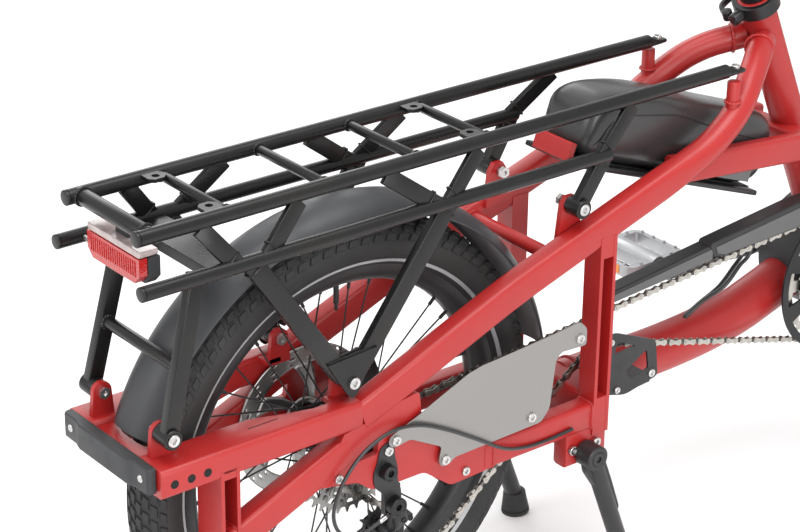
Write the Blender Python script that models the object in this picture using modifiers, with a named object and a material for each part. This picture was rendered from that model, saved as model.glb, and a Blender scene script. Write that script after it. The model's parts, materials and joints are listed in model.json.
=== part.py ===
"""Longtail electric cargo bicycle.

Frame of reference: x runs forward from the rear axle, y to the rider's left, z up from the
ground. Everything hangs on one empty that stands at the rear wheel's place, so the whole
bicycle is centred on the world origin. Metres throughout.
"""
import math

import bmesh
import bpy
from mathutils import Matrix, Vector

# Wheels: 20 inch rims (406 mm bead seat) with 62 mm wide tyres
AXLE_Z = 0.262
TYRE_RADIUS = 0.262
TYRE_HALF_WIDTH = 0.031
RIM_OUTER = 0.2094
RIM_INNER = 0.188
RIM_HALF_WIDTH = 0.019
WHEELBASE = 1.310
REAR_HUB_HALF = 0.0737
FRONT_HUB_HALF = 0.0550
ROTOR_RADIUS = 0.090
ROTOR_THICKNESS = 0.0018
AXLE_RADIUS = 0.006
SPOKES = 16

# Overall length sets where the rear axle stands when the bicycle is centred
BUMPER_REAR_X = -0.295
FRONT_END_X = WHEELBASE + TYRE_RADIUS
REAR_AXLE_X = -(FRONT_END_X + BUMPER_REAR_X) / 2

# Drive: crank axle, chain line and sprocket pitch radii
CRANK_X = 0.745
CRANK_Z = 0.275
CRANK_LENGTH = 0.165
CHAIN_PITCH = 0.0127
CHAIN_Y = -0.046
CHAIN_HALF_WIDTH = 0.0029
CHAIN_HALF_HEIGHT = 0.0038
CHAINRING_TEETH = 44
COG_TEETH = (11, 13, 15, 17, 20, 23, 26, 30, 36)
COG_SPACING = 0.00435
DRIVING_COG = 4
PULLEY_TEETH = 11
IDLER = (0.338, 0.272)
GUIDE_PULLEY = (0.020, 0.168)
TENSION_PULLEY = (0.062, 0.110)

# Rear frame: two flat side trusses, each as wide as its tubes
TRUSS_INNER = 0.063
TRUSS_OUTER = 0.088
RAIL_Z = 0.3375
RAIL_HEIGHT = 0.032
STAY_HEIGHT = 0.035
STRUT_X = 0.312
STAY_KNEE = (0.180, 0.418)
STAY_REAR = (-0.030, 0.334)
STAY_FRONT = (0.450, 0.5055)

# Rack
DECK_Z = 0.597
DECK_HALF = 0.064
DECK_RADIUS = 0.0082
SHELF_Z = 0.546
SHELF_HALF = 0.078
SHELF_RADIUS = 0.0078
RACK_BOLTS = {"front": (0.273, 0.493), "middle": (-0.037, 0.375), "rear": (-0.260, 0.380)}

# Seat tube, steering axis and stand pivot
SEAT_TOP = (0.610, 0.650)
SEAT_LENGTH = 0.3045
SEAT_ANGLE = math.atan2(0.913, 0.408)
SEAT_RADIUS = 0.021
POST_RADIUS = 0.0168
HEAD_ANGLE = math.radians(70)
STEER_POINT = (1.1262, 0.650)
BAR_CENTRE = (0.978, 1.062)
BAR_RADIUS = 0.0125
STAND_PIVOT = (0.288, 0.190)
STAND_HALF = 0.101

WELD_GAP = 0.0004
FIT_GAP = 0.0003
ROOT_GAP = 0.0012

PARTS = "cargo_bicycle"
CUTTERS = "cutters"


# ---------------------------------------------------------------- scene and materials
def clear_scene():
    for thing in list(bpy.data.objects):
        bpy.data.objects.remove(thing)


def collection(name):
    found = bpy.data.collections.get(name)
    if found is None:
        found = bpy.data.collections.new(name)
        bpy.context.scene.collection.children.link(found)
    return found


def material(name, colour, roughness, metallic):
    found = bpy.data.materials.get(name)
    if found is None:
        found = bpy.data.materials.new(name)
        found.use_nodes = True
        shader = found.node_tree.nodes["Principled BSDF"]
        shader.inputs["Base Color"].default_value = (*colour, 1.0)
        shader.inputs["Roughness"].default_value = roughness
        shader.inputs["Metallic"].default_value = metallic
    return found


def frame_red():
    return material("frame_red", (0.45, 0.035, 0.045), 0.38, 0.0)


def rack_graphite():
    return material("rack_graphite", (0.045, 0.047, 0.052), 0.42, 0.3)


def black_plastic():
    return material("black_plastic", (0.025, 0.025, 0.027), 0.55, 0.0)


def black_metal():
    return material("black_metal", (0.030, 0.030, 0.032), 0.35, 0.6)


def brushed_steel():
    return material("brushed_steel", (0.62, 0.60, 0.57), 0.32, 1.0)


def bare_alloy():
    return material("bare_alloy", (0.66, 0.67, 0.68), 0.36, 1.0)


def rubber():
    return material("rubber", (0.018, 0.018, 0.019), 0.80, 0.0)


def red_lens():
    return material("red_lens", (0.50, 0.01, 0.01), 0.12, 0.0)


# ---------------------------------------------------------------- shape helpers
def put(name, mesh, paint=None):
    """Link a mesh as a named part, or as an unpainted helper solid when it has no paint."""
    made = bpy.data.objects.new(name, mesh)
    collection(PARTS).objects.link(made)
    if paint is not None:
        made.data.materials.clear()
        made.data.materials.append(paint)
    return made


def evaluated_mesh(source):
    bpy.context.view_layer.update()
    graph = bpy.context.evaluated_depsgraph_get()
    return bpy.data.meshes.new_from_object(source.evaluated_get(graph))


def settle(source):
    """Replace an object by its evaluated mesh, with its place moved into the mesh."""
    mesh = evaluated_mesh(source)
    mesh.transform(source.matrix_world)
    shape = bmesh.new()
    shape.from_mesh(mesh)
    bmesh.ops.remove_doubles(shape, verts=shape.verts, dist=0.000001)
    shape.to_mesh(mesh)
    shape.free()
    name = source.name
    bpy.data.objects.remove(source)
    return put(name, mesh)


def combine(base, others, operation):
    for other in others:
        step = base.modifiers.new(operation.lower(), "BOOLEAN")
        step.operation = operation
        step.solver = "EXACT"
        step.object = other
    base = settle(base)
    for other in others:
        bpy.data.objects.remove(other)
    return base


def fuse(base, *others):
    for other in others:
        base = combine(base, [other], "UNION")
    return base


def carve(base, *others):
    for other in others:
        base = combine(base, [other], "DIFFERENCE")
    return base


def finish(made, name, paint, smooth=None):
    """Give a finished solid its name and paint; smooth is the angle kept sharp, in degrees."""
    made.name = name
    made.data.name = name
    made.data.materials.clear()
    made.data.materials.append(paint)
    if smooth is not None:
        made.data.shade_smooth()
        made.data.set_sharp_from_angle(angle=math.radians(smooth))
    return made


def box(x_range, y_range, z_range, bevel=0.0, segments=1):
    """A box between the given limits, with its edges rounded by bevel."""
    shape = bmesh.new()
    bmesh.ops.create_cube(shape, size=1.0)
    size = [limits[1] - limits[0] for limits in (x_range, y_range, z_range)]
    middle = [(limits[1] + limits[0]) / 2 for limits in (x_range, y_range, z_range)]
    bmesh.ops.scale(shape, vec=size, verts=shape.verts)
    bmesh.ops.translate(shape, vec=middle, verts=shape.verts)
    mesh = bpy.data.meshes.new("box")
    shape.to_mesh(mesh)
    shape.free()
    made = put("box", mesh)
    if bevel:
        add_bevel(made, bevel, segments)
        made = settle(made)
    return made


def add_bevel(made, width, segments):
    rounding = made.modifiers.new("rounding", "BEVEL")
    rounding.width = width
    rounding.segments = segments
    rounding.limit_method = "ANGLE"


def beam(start, end, y_range, height, bevel=0.004, grow=0.0):
    """A rectangular tube between two points of a side view, (x, z) each."""
    run = Vector((end[0] - start[0], end[1] - start[1]))
    half_y = (y_range[1] - y_range[0]) / 2 + grow
    half_z = height / 2 + grow
    half_x = run.length / 2 + grow
    made = box((-half_x, half_x), (-half_y, half_y), (-half_z, half_z), bevel, 1)
    middle = ((start[0] + end[0]) / 2, sum(y_range) / 2, (start[1] + end[1]) / 2)
    turn = Matrix.Rotation(-math.atan2(run[1], run[0]), 4, "Y")
    made.matrix_world = Matrix.Translation(middle) @ turn
    return settle(made)


def cylinder(start, end, radius, sides=14, end_radius=None):
    """A round bar from start to end, given as (x, y, z)."""
    start = Vector(start)
    end = Vector(end)
    axis = end - start
    shape = bmesh.new()
    bmesh.ops.create_cone(shape, cap_ends=True, segments=sides, radius1=radius,
                          radius2=radius if end_radius is None else end_radius, depth=axis.length)
    mesh = bpy.data.meshes.new("cylinder")
    shape.to_mesh(mesh)
    shape.free()
    made = put("cylinder", mesh)
    turn = Vector((0, 0, 1)).rotation_difference(axis).to_matrix().to_4x4()
    made.matrix_world = Matrix.Translation((start + end) / 2) @ turn
    return settle(made)


def pin(centre, y_range, radius, sides=14):
    """A round bar that lies across the bicycle at centre (x, z)."""
    return cylinder((centre[0], y_range[0], centre[1]), (centre[0], y_range[1], centre[1]),
                    radius, sides)


def rounded(points, radius, steps=4):
    """The route through points with each corner replaced by an arc of the given radius."""
    points = [Vector(point) for point in points]
    route = [points[0]]
    for before, corner, after in zip(points, points[1:], points[2:]):
        to_before = (before - corner).normalized()
        to_after = (after - corner).normalized()
        turn = to_before.angle(to_after)
        reach = min(radius / math.tan(turn / 2), (before - corner).length * 0.48,
                    (after - corner).length * 0.48)
        first = corner + to_before * reach
        last = corner + to_after * reach
        for step in range(steps + 1):
            t = step / steps
            route.append(first * (1 - t) ** 2 + corner * 2 * t * (1 - t) + last * t ** 2)
    route.append(points[-1])
    return route


def tube(points, radius, resolution=3):
    """A round tube along a route of points, closed by flat caps."""
    line = bpy.data.curves.new("tube", "CURVE")
    line.dimensions = "3D"
    line.bevel_depth = radius
    line.bevel_resolution = resolution
    line.use_fill_caps = True
    spline = line.splines.new("POLY")
    spline.points.add(len(points) - 1)
    for place, point in zip(spline.points, points):
        place.co = (*point, 1.0)
    made = bpy.data.objects.new("tube", line)
    collection(PARTS).objects.link(made)
    return settle(made)


def plate(outline, y_range, holes=()):
    """A flat plate across y, from its (x, z) outline and the outlines of its holes."""
    line = bpy.data.curves.new("plate", "CURVE")
    line.dimensions = "2D"
    line.fill_mode = "BOTH"
    line.extrude = (y_range[1] - y_range[0]) / 2
    for ring in (outline, *holes):
        spline = line.splines.new("POLY")
        spline.points.add(len(ring) - 1)
        for place, point in zip(spline.points, ring):
            place.co = (point[0], point[1], 0.0, 1.0)
        spline.use_cyclic_u = True
    made = bpy.data.objects.new("plate", line)
    collection(PARTS).objects.link(made)
    upright = Matrix.Rotation(math.radians(90), 4, "X")
    made.matrix_world = Matrix.Translation((0, sum(y_range) / 2, 0)) @ upright
    return settle(made)


def ring_points(centre, radius, sides=14):
    turns = [math.tau * side / sides for side in range(sides)]
    return [(centre[0] + radius * math.cos(a), centre[1] + radius * math.sin(a)) for a in turns]


def capsule_points(start, end, start_radius, end_radius, sides=6):
    """The outline of a link that is round about both of its ends."""
    lean = math.atan2(end[1] - start[1], end[0] - start[0])
    outline = []
    for centre, radius, first in ((end, end_radius, -math.pi / 2), (start, start_radius, math.pi / 2)):
        for step in range(sides + 1):
            angle = lean + first + math.pi * step / sides
            outline.append((centre[0] + radius * math.cos(angle),
                            centre[1] + radius * math.sin(angle)))
    return outline


def lathe(profile, place, steps=32):
    """A turned shape. The profile is (radius, height) from top to bottom on its outer side;
    place moves the turning axis from world z to where it belongs."""
    mesh = bpy.data.meshes.new("lathe")
    count = len(profile)
    edges = [(i, (i + 1) % count) for i in range(count)]
    edges = [(a, b) for a, b in edges if profile[a][0] > 0 or profile[b][0] > 0]
    mesh.from_pydata([(radius, 0.0, height) for radius, height in profile], edges, [])
    made = put("lathe", mesh)
    turning = made.modifiers.new("turning", "SCREW")
    turning.axis = "Z"
    turning.angle = math.tau
    turning.steps = steps
    turning.render_steps = steps
    turning.use_merge_vertices = True
    turning.merge_threshold = 0.00001
    made.matrix_world = place
    return settle(made)


def across(centre, y=0.0):
    """A turning axis that lies across the bicycle: profile heights run to the left."""
    turn = Matrix.Rotation(math.radians(-90), 4, "X")
    return Matrix.Translation((centre[0], y, centre[1])) @ turn


def along(point, angle):
    """A turning axis in the side view through point (x, z), angle up from the back (-x)."""
    turn = Matrix.Rotation(angle - math.pi / 2, 4, "Y")
    return Matrix.Translation((point[0], 0, point[1])) @ turn


def on_line(point, angle, distance, y=0.0):
    """The place at a distance up a line that leans back by angle from the back (-x)."""
    return Vector((point[0] - distance * math.cos(angle), y, point[1] + distance * math.sin(angle)))


def mirrored(source):
    """A copy of a solid on the other side of the bicycle."""
    mesh = source.data.copy()
    mesh.transform(Matrix.Scale(-1, 4, (0, 1, 0)))
    mesh.flip_normals()
    return put("mirrored", mesh)


def pitch_radius(teeth):
    return CHAIN_PITCH / (2 * math.sin(math.pi / teeth))


def root_radius(teeth):
    return pitch_radius(teeth) - CHAIN_HALF_HEIGHT - ROOT_GAP


# ---------------------------------------------------------------- wheels
def tyre(name, centre_x):
    crown = [(TYRE_RADIUS, 0.0), (0.2595, 0.0135), (0.2500, 0.0250), (0.236, TYRE_HALF_WIDTH),
             (0.2220, 0.0290), (0.2098, 0.0195)]
    left = crown[::-1]
    right = [(radius, -y) for radius, y in crown[1:]]
    return finish(lathe(left + right, across((centre_x, AXLE_Z)), 32), name, rubber(), 35)


def rim(name, centre_x):
    half = RIM_HALF_WIDTH
    profile = [(RIM_OUTER, half), (RIM_OUTER, -half), (0.203, -half), (RIM_INNER, -0.010),
               (RIM_INNER, 0.010), (0.203, half)]
    return finish(lathe(profile, across((centre_x, AXLE_Z)), 32), name, black_metal(), 35)


def spokes(centre_x, flanges, flange_radius):
    """Straight spokes from alternate hub flanges to the middle of the rim."""
    made = []
    for number in range(SPOKES):
        angle = math.tau * number / SPOKES
        radial = Vector((math.cos(angle), 0, math.sin(angle)))
        hub = Vector((centre_x, 0, AXLE_Z))
        inner = hub + radial * flange_radius + Vector((0, flanges[number % 2], 0))
        outer = hub + radial * (RIM_INNER - FIT_GAP)
        made.append(cylinder(inner, outer, 0.0011, 4))
    return made


def hub(name, centre_x, half, flanges, rotor_y, flange_radius, body_radius):
    """Hub shell with flanges, brake rotor on the left, spokes and an open axle bore."""
    bore = AXLE_RADIUS + FIT_GAP
    left = flanges[1]
    right = flanges[0]
    profile = [
        (bore, half), (0.011, half), (0.011, rotor_y + 0.004), (0.024, rotor_y + 0.004),
        (0.024, rotor_y + ROTOR_THICKNESS / 2), (ROTOR_RADIUS, rotor_y + ROTOR_THICKNESS / 2),
        (ROTOR_RADIUS, rotor_y - ROTOR_THICKNESS / 2), (0.024, rotor_y - ROTOR_THICKNESS / 2),
        (0.020, left + 0.002), (flange_radius + 0.004, left + 0.002),
        (flange_radius + 0.004, left - 0.002), (body_radius, left - 0.004),
        (body_radius, right + 0.004), (flange_radius + 0.004, right + 0.002),
        (flange_radius + 0.004, right - 0.002), (0.016, right - 0.004),
        (0.016, -half + 0.006), (0.011, -half), (bore, -half)]
    shell = lathe(profile, across((centre_x, AXLE_Z)), 16)
    wires = spokes(centre_x, flanges, flange_radius)
    first = wires[0]
    first = fuse_apart(first, wires[1:])
    return finish(fuse(shell, first), name, bare_alloy(), 35)


def fuse_apart(base, others):
    """Gather solids that don't meet in one helper, ready for a single union."""
    shape = bmesh.new()
    for part in (base, *others):
        shape.from_mesh(part.data)
    mesh = bpy.data.meshes.new("gathered")
    shape.to_mesh(mesh)
    shape.free()
    for part in (base, *others):
        bpy.data.objects.remove(part)
    return put("gathered", mesh)


def axle(name, centre_x, right_end, left_end, dropout_outer):
    """Through axle with a round head on each side of the dropouts."""
    centre = (centre_x, AXLE_Z)
    shaft = pin(centre, (-right_end, left_end), AXLE_RADIUS, 16)
    heads = [pin(centre, (-right_end - 0.0005, -dropout_outer - FIT_GAP), 0.0092, 12),
             pin(centre, (dropout_outer + FIT_GAP, left_end + 0.0005), 0.0100, 6)]
    return finish(fuse(shaft, *heads), name, bare_alloy(), 35)


def cassette():
    """Nine sprockets as one stepped solid; the driving one leaves room for the chain."""
    bore = 0.0163
    first_y = CHAIN_Y - DRIVING_COG * COG_SPACING - 0.0010
    steps = []
    for number, teeth in enumerate(COG_TEETH):
        radius = root_radius(teeth)
        start = first_y + number * COG_SPACING
        steps += [(radius, start), (radius, start + COG_SPACING)]
    steps = steps[::-1]
    profile = [(bore, steps[0][1])] + steps + [(bore, steps[-1][1])]
    return finish(lathe(profile, across((0, AXLE_Z)), 18), "cassette", bare_alloy(), 35)


# ---------------------------------------------------------------- rear frame
def rack_tab(spot, y_range, base_z, side=-1):
    """A lug that stands on the frame and holds one bolt of the rack."""
    ring = [(spot[0] - 0.014, base_z), (spot[0] + 0.014, base_z)]
    for step in range(9):
        angle = math.pi * step / 8
        ring.append((spot[0] + 0.011 * math.cos(angle), spot[1] + 0.011 * math.sin(angle)))
    span = sorted(side * y for y in y_range)
    return plate(ring, span)


def dropout():
    """Plate that carries the axle, with a three-cornered window and bolt holes."""
    outline = [(-0.084, 0.268), (-0.036, 0.259), (-0.018, 0.244), (0.018, 0.241), (0.054, 0.241),
               (0.092, 0.212), (0.158, 0.2145), (0.158, 0.2465), (0.082, 0.262), (0.052, 0.292),
               (0.046, 0.342), (0.008, 0.336), (-0.018, 0.328), (-0.054, 0.322)]
    window = [(-0.046, 0.2835), (-0.006, 0.3020), (-0.010, 0.2845)]
    holes = [ring_points((x, z), 0.0035, 8) for x, z in ((-0.062, 0.2725), (0.112, 0.2235))]
    return plate(outline, (-0.0865, -0.0785), [window, *holes])


def channel(x_range, y_range, z_range, groove_z, wall):
    """An upright U section, open to the outside of the bicycle."""
    bar = box(x_range, y_range, z_range, 0.002, 1)
    inside = box((x_range[0] + wall, x_range[1] - wall), (y_range[0] - 0.01, y_range[1] - 0.005),
                 groove_z, 0.0)
    return carve(bar, inside)


def stay_line(grow):
    """The two straight runs of the sloping stay, right side."""
    span = (-TRUSS_OUTER + 0.0004, -TRUSS_INNER)
    rear = beam(STAY_REAR, STAY_KNEE, span, STAY_HEIGHT, 0.004 if not grow else 0.0, grow)
    knee = (STAY_KNEE[0] - 0.012, STAY_KNEE[1] - 0.0043)
    front = beam(knee, STAY_FRONT, span, STAY_HEIGHT - 0.0006, 0.004 if not grow else 0.0, grow)
    return fuse(rear, front)


def right_truss():
    """Rail, tail channel, tail tube, dropout, chainstay and strut, welded into one truss."""
    rail = beam((-0.280, RAIL_Z), (-0.105, RAIL_Z), (-0.088, -0.042), RAIL_HEIGHT, 0.003)
    rail_end = beam((-0.130, RAIL_Z), (-0.030, RAIL_Z), (-0.0876, -TRUSS_INNER),
                    RAIL_HEIGHT - 0.0008, 0.003)
    tail = channel((-0.2100, -0.1870), (-0.0884, -0.0440), (0.2120, RAIL_Z), (0.2200, 0.3195), 0.004)
    tail_tube = beam((-0.190, 0.2405), (-0.045, 0.3014), (-0.0872, -0.0620), 0.034, 0.003)
    stay_plate = dropout()
    boss = pin((0, AXLE_Z), (-0.0800, -REAR_HUB_HALF - 0.0005), 0.016, 16)
    chainstay = beam((0.140, 0.2305), (0.304, 0.2305), (-0.0868, -0.0620), 0.033, 0.003)
    strut = channel((STRUT_X - 0.012, STRUT_X + 0.012), (-0.0882, -0.0620), (0.2060, 0.4520),
                    (0.2520, 0.4260), 0.0045)
    bracket = box((0.262, 0.3225), (-0.0864, -0.0645), (0.174, 0.2200), 0.003, 1)
    truss = fuse(rail, rail_end, tail, tail_tube, stay_plate, boss, chainstay, strut, bracket)
    tabs = [rack_tab(RACK_BOLTS[which], (0.0515, 0.0575), 0.348) for which in ("middle", "rear")]
    tabs[0] = fuse(tabs[0], box((-0.056, -0.036), (-0.0700, -0.0515), (0.3474, 0.3526)))
    truss = fuse(truss, *tabs)
    holes = [pin((x, 0.336), (-0.100, -0.0838), 0.0048, 10) for x in (-0.265, -0.2450, -0.2256)]
    holes.append(box((-0.156, -0.122), (-0.069, -0.059), (0.348, 0.360)))
    holes.append(pin((0, AXLE_Z), (-0.100, -0.060), AXLE_RADIUS + FIT_GAP, 16))
    holes.append(pin(STAND_PIVOT, (-0.100, -0.050), 0.0097, 16))
    return carve(truss, *holes, stay_line(WELD_GAP))


def side_trusses():
    right = right_truss()
    left = mirrored(right)
    hanger = box((0.000, 0.022), (-0.0845, -0.0790), (0.206, 0.2500), 0.002, 2)
    tail_bridge = box((-0.279, -0.2605), (-0.0460, 0.0414), (0.3225, 0.3480), 0.003, 2)
    right = fuse(right, hanger, tail_bridge)
    finish(right, "side_truss_right", frame_red(), 35)
    finish(left, "side_truss_left", frame_red(), 35)
    return right, left


def upper_stays():
    """Both sloping stays with the bends that meet the seat tube, the cross tube between them,
    and the side tubes with the bridge behind the seat tube."""
    straight = stay_line(0.0)
    bend = tube(rounded([(0.430, -0.0752, 0.499), (0.475, -0.0752, 0.5160), (0.525, -0.0700, 0.5480),
                         (0.568, -0.0470, 0.5820), (0.622, -0.0100, 0.5980)], 0.03, 2), 0.0158, 2)
    lug = plate([(0.256, 0.450), (0.290, 0.458), (0.285, 0.493), (0.279, 0.502), (0.267, 0.502),
                 (0.261, 0.493)], (-0.0645, -0.0575))
    boss = cylinder((0.512, -0.0700, 0.545), (0.512, -0.0700, 0.5855), 0.0078, 16)
    right = fuse(straight, bend, lug, boss)
    left = mirrored(right)
    cross = pin((0.242, 0.4410), (-0.070, 0.070), 0.0078, 16)
    sides = [beam((0.430, 0.4910), (0.692, 0.4650), sorted((side * 0.0465, side * 0.0638)), 0.034,
                  0.003) for side in (-1, 1)]
    bridge = box((0.6535, 0.684), (-0.0520, 0.0520), (0.4590, 0.4790), 0.002, 1)
    both = fuse(right, cross, left, sides[0], bridge, sides[1])
    return finish(carve(both, seat_cutter()), "upper_stays", frame_red(), 35)


def seat_cutter():
    top = on_line(SEAT_TOP, SEAT_ANGLE, 0.002)
    bottom = on_line(SEAT_TOP, SEAT_ANGLE, -SEAT_LENGTH)
    return cylinder(bottom, top, SEAT_RADIUS + WELD_GAP, 32)


def seat_tube():
    """Tube that holds the seatpost in its bore; its foot stands on the motor's bracket."""
    bore = POST_RADIUS + FIT_GAP
    profile = [(bore, 0.0), (SEAT_RADIUS, 0.0), (SEAT_RADIUS, -SEAT_LENGTH), (0.0, -SEAT_LENGTH),
               (0.0, -0.262), (bore, -0.262)]
    made = lathe(profile, along(SEAT_TOP, SEAT_ANGLE), 32)
    return finish(made, "seat_tube", frame_red(), 35)


def motor_solid(grow):
    return pin((0.760, 0.290), (-0.0405 - grow, 0.0405 + grow), 0.072 + grow, 32)


def main_tube():
    """Cross member between the trusses and the round tube that runs forward to the motor."""
    member = box((0.3005, 0.3450), (-0.0612, 0.0612), (0.2010, 0.2530), 0.004, 2)
    route = rounded([(0.330, 0, 0.2265), (0.575, 0, 0.2265), (0.720, 0, 0.2720)], 0.12, 4)
    made = fuse(member, tube(route, 0.029, 4))
    return finish(carve(made, motor_solid(WELD_GAP)), "main_tube", frame_red(), 35)


def head_cutter():
    low = on_line(STEER_POINT, HEAD_ANGLE, -0.090)
    high = on_line(STEER_POINT, HEAD_ANGLE, 0.100)
    return cylinder(low, high, 0.0250 + WELD_GAP, 32)


def down_tube():
    """Low step-through tube from the motor up to the head tube."""
    route = rounded([(0.770, 0, 0.305), (0.900, 0, 0.385), (1.030, 0, 0.520), (1.112, 0, 0.668)],
                    0.20, 4)
    made = carve(tube(route, 0.030, 4), motor_solid(WELD_GAP), head_cutter())
    return finish(made, "down_tube", frame_red(), 35)


def head_tube():
    profile = [(0.0147, 0.088), (0.025, 0.088), (0.025, -0.078), (0.0147, -0.078)]
    made = lathe(profile, along(STEER_POINT, HEAD_ANGLE), 32)
    return finish(made, "head_tube", frame_red(), 35)


# ---------------------------------------------------------------- rack
def deck():
    """Upper rails of the rack with their rungs and the thick tube at the back."""
    rails = [tube([(-0.286, side * DECK_HALF, DECK_Z), (0.528, side * DECK_HALF, DECK_Z)],
                  DECK_RADIUS, 3) for side in (-1, 1)]
    rungs = [pin((x, DECK_Z), (-DECK_HALF, DECK_HALF), 0.0054, 12)
             for x in (-0.177, -0.058, 0.060, 0.154)]
    rungs.append(pin((-0.269, DECK_Z), (-DECK_HALF, DECK_HALF), 0.0088, 16))
    return finish(fuse(rails[0], *rungs, rails[1]), "rack_deck", rack_graphite(), 35)


def sleeve(spot, y_range, side):
    span = sorted(side * y for y in y_range)
    return pin(spot, span, 0.0105, 12)


def strut(start, end, width, depth):
    """Flat tube between two points: width lies in the side view, depth across the bicycle."""
    run = Vector(end) - Vector(start)
    made = box((0, run.length), (-depth / 2, depth / 2), (-width / 2, width / 2), 0.0015, 1)
    run.normalize()
    across = (Vector((0, 1, 0)) - run * run.y).normalized()
    turned = Matrix((run, across, run.cross(across))).transposed().to_4x4()
    made.matrix_world = Matrix.Translation(start) @ turned
    return settle(made)


def rack_side(name, side):
    """Lower rail with its flat legs, the V with its gusset, and the braces under the deck."""
    y = side * SHELF_HALF
    leg_y = side * 0.0720
    brace_y = side * 0.0690
    shelf = tube([(-0.291, y, SHELF_Z), (0.314, y, SHELF_Z)], SHELF_RADIUS, 2)
    front, middle, rear = (RACK_BOLTS[key] for key in ("front", "middle", "rear"))
    legs = [
        ((-0.219, side * 0.0660, SHELF_Z), (rear[0], leg_y, rear[1]), 0.0180, 0.0120),
        ((-0.163, y, SHELF_Z), (middle[0] - 0.010, leg_y, middle[1] + 0.008), 0.0215, 0.0100),
        ((0.088, y, SHELF_Z), (middle[0] + 0.010, leg_y, middle[1] + 0.008), 0.0215, 0.0100),
        ((0.306, y, SHELF_Z), (front[0], side * 0.0760, front[1]), 0.0190, 0.0110)]
    braces = [(0.088, 0.143), (0.304, 0.364), (-0.143, -0.089), (0.074, 0.006), (-0.178, -0.220)]
    legs += [((low, y, SHELF_Z), (high, brace_y, DECK_Z), 0.0190, 0.0070) for low, high in braces]
    solids = [strut(*leg) for leg in legs]
    gusset = plate([(middle[0] - 0.033, middle[1] + 0.029), (middle[0] - 0.0105, middle[1] - 0.008),
                    (middle[0], middle[1] - 0.0118), (middle[0] + 0.0105, middle[1] - 0.008),
                    (middle[0] + 0.031, middle[1] + 0.033)], sorted((side * 0.0762, side * 0.0800)))
    sleeves = [sleeve(front, (0.0652, 0.0868), side), sleeve(middle, (0.0580, 0.0810), side),
               sleeve(rear, (0.0580, 0.0810), side)]
    heads = [pin(spot, sorted((side * start, side * (start + 0.0055))), 0.0075, 6)
             for spot, start in ((front, 0.0860), (middle, 0.0802), (rear, 0.0802))]
    made = fuse(shelf, *solids, gusset, *sleeves, *heads)
    above = box((-0.4, 0.5), (-0.2, 0.2), (DECK_Z - DECK_RADIUS - FIT_GAP, 0.70))
    return finish(carve(made, above), name, rack_graphite(), 35)


def rack_plate():
    """Flat plate between the lower rails."""
    made = box((-0.207, -0.166), (-0.0698, 0.0698), (0.5430, 0.5470), 0.001, 1)
    return finish(made, "rack_cross_plate", rack_graphite(), 35)


def leg_brace():
    """Cross tube between the rear legs of the rack."""
    made = pin((-0.2430, 0.450), (-0.0625, 0.0625), 0.006, 12)
    return finish(made, "rack_leg_brace", rack_graphite(), 35)


# ---------------------------------------------------------------- tail
def bumper():
    """Pad that the bicycle stands on when it is parked upright on its tail."""
    pad = box((BUMPER_REAR_X + 0.004, -0.2804), (-0.080, 0.080), (0.3270, 0.3560), 0.003, 2)
    step = box((BUMPER_REAR_X, -0.2850), (-0.052, 0.052), (0.3310, 0.3520), 0.002, 2)
    return finish(fuse(pad, step), "bumper_pad", black_plastic(), 35)


def tail_light():
    housing = box((-0.2620, -0.2480), (-0.0490, 0.0490), (0.5360, 0.5760), 0.003, 2)
    tab = box((-0.2610, -0.2560), (-0.012, 0.012), (0.5700, 0.5876), 0.0)
    lens = box((-0.2720, -0.2624), (-0.0475, 0.0475), (0.5385, 0.5660), 0.003, 2)
    return (finish(fuse(housing, tab), "tail_light_housing", black_plastic(), 35),
            finish(lens, "tail_light_lens", red_lens(), 35))


def mudguard(name, centre_x, first, last):
    """A crowned strip bent round the wheel from the first angle to the last, in degrees."""
    half = 0.036
    rise = 0.014
    crown = 0.286
    section = []
    for step in range(7):
        y = half * (1 - step / 3)
        section.append((crown - rise * (y / half) ** 2, y))
    mesh = bpy.data.meshes.new("mudguard")
    mesh.from_pydata([(radius, 0.0, y) for radius, y in section],
                     [(i, i + 1) for i in range(len(section) - 1)], [])
    made = put("mudguard", mesh)
    turning = made.modifiers.new("turning", "SCREW")
    turning.axis = "Z"
    turning.angle = math.radians(last - first)
    turning.steps = 16
    turning.render_steps = 16
    turning.use_merge_vertices = False
    turning.merge_threshold = 0.00001
    skin = made.modifiers.new("skin", "SOLIDIFY")
    skin.thickness = 0.0022
    skin.offset = -1.0
    made.matrix_world = across((centre_x, AXLE_Z)) @ Matrix.Rotation(-math.radians(last), 4, "Z")
    return finish(settle(made), name, black_plastic(), 50)


# ---------------------------------------------------------------- drive
def motor():
    made = motor_solid(0.0)
    add_bevel(made, 0.006, 1)
    made = settle(made)
    bore = pin((CRANK_X, CRANK_Z), (-0.060, 0.060), 0.0104, 24)
    return finish(carve(made, bore), "motor", black_plastic(), 35)


def crankset():
    """Spindle, chainring with its guard disc, both arms and the pedal spindles."""
    centre = (CRANK_X, CRANK_Z)
    spindle = pin(centre, (-0.080, 0.080), 0.010, 16)
    ring = pin(centre, (CHAIN_Y - 0.0015, CHAIN_Y + 0.0015), root_radius(CHAINRING_TEETH), 32)
    guard = pin(centre, (-0.0525, -0.0495), 0.100, 32)
    spider = pin(centre, (-0.0780, -0.0440), 0.030, 16)
    collar = pin(centre, (0.0420, 0.0780), 0.016, 16)
    made = fuse(spindle, ring, guard, spider, collar)
    for side, forward in ((-1, 1), (1, -1)):
        tip = (CRANK_X + forward * CRANK_LENGTH, CRANK_Z)
        outline = capsule_points(centre, tip, 0.018, 0.014)
        arm = plate(outline, sorted((side * 0.0765, side * 0.0905)))
        spike = pin(tip, sorted((side * 0.0850, side * 0.1960)), 0.0062, 12)
        made = fuse(made, arm, spike)
    return finish(made, "crankset", black_metal(), 35)


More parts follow.
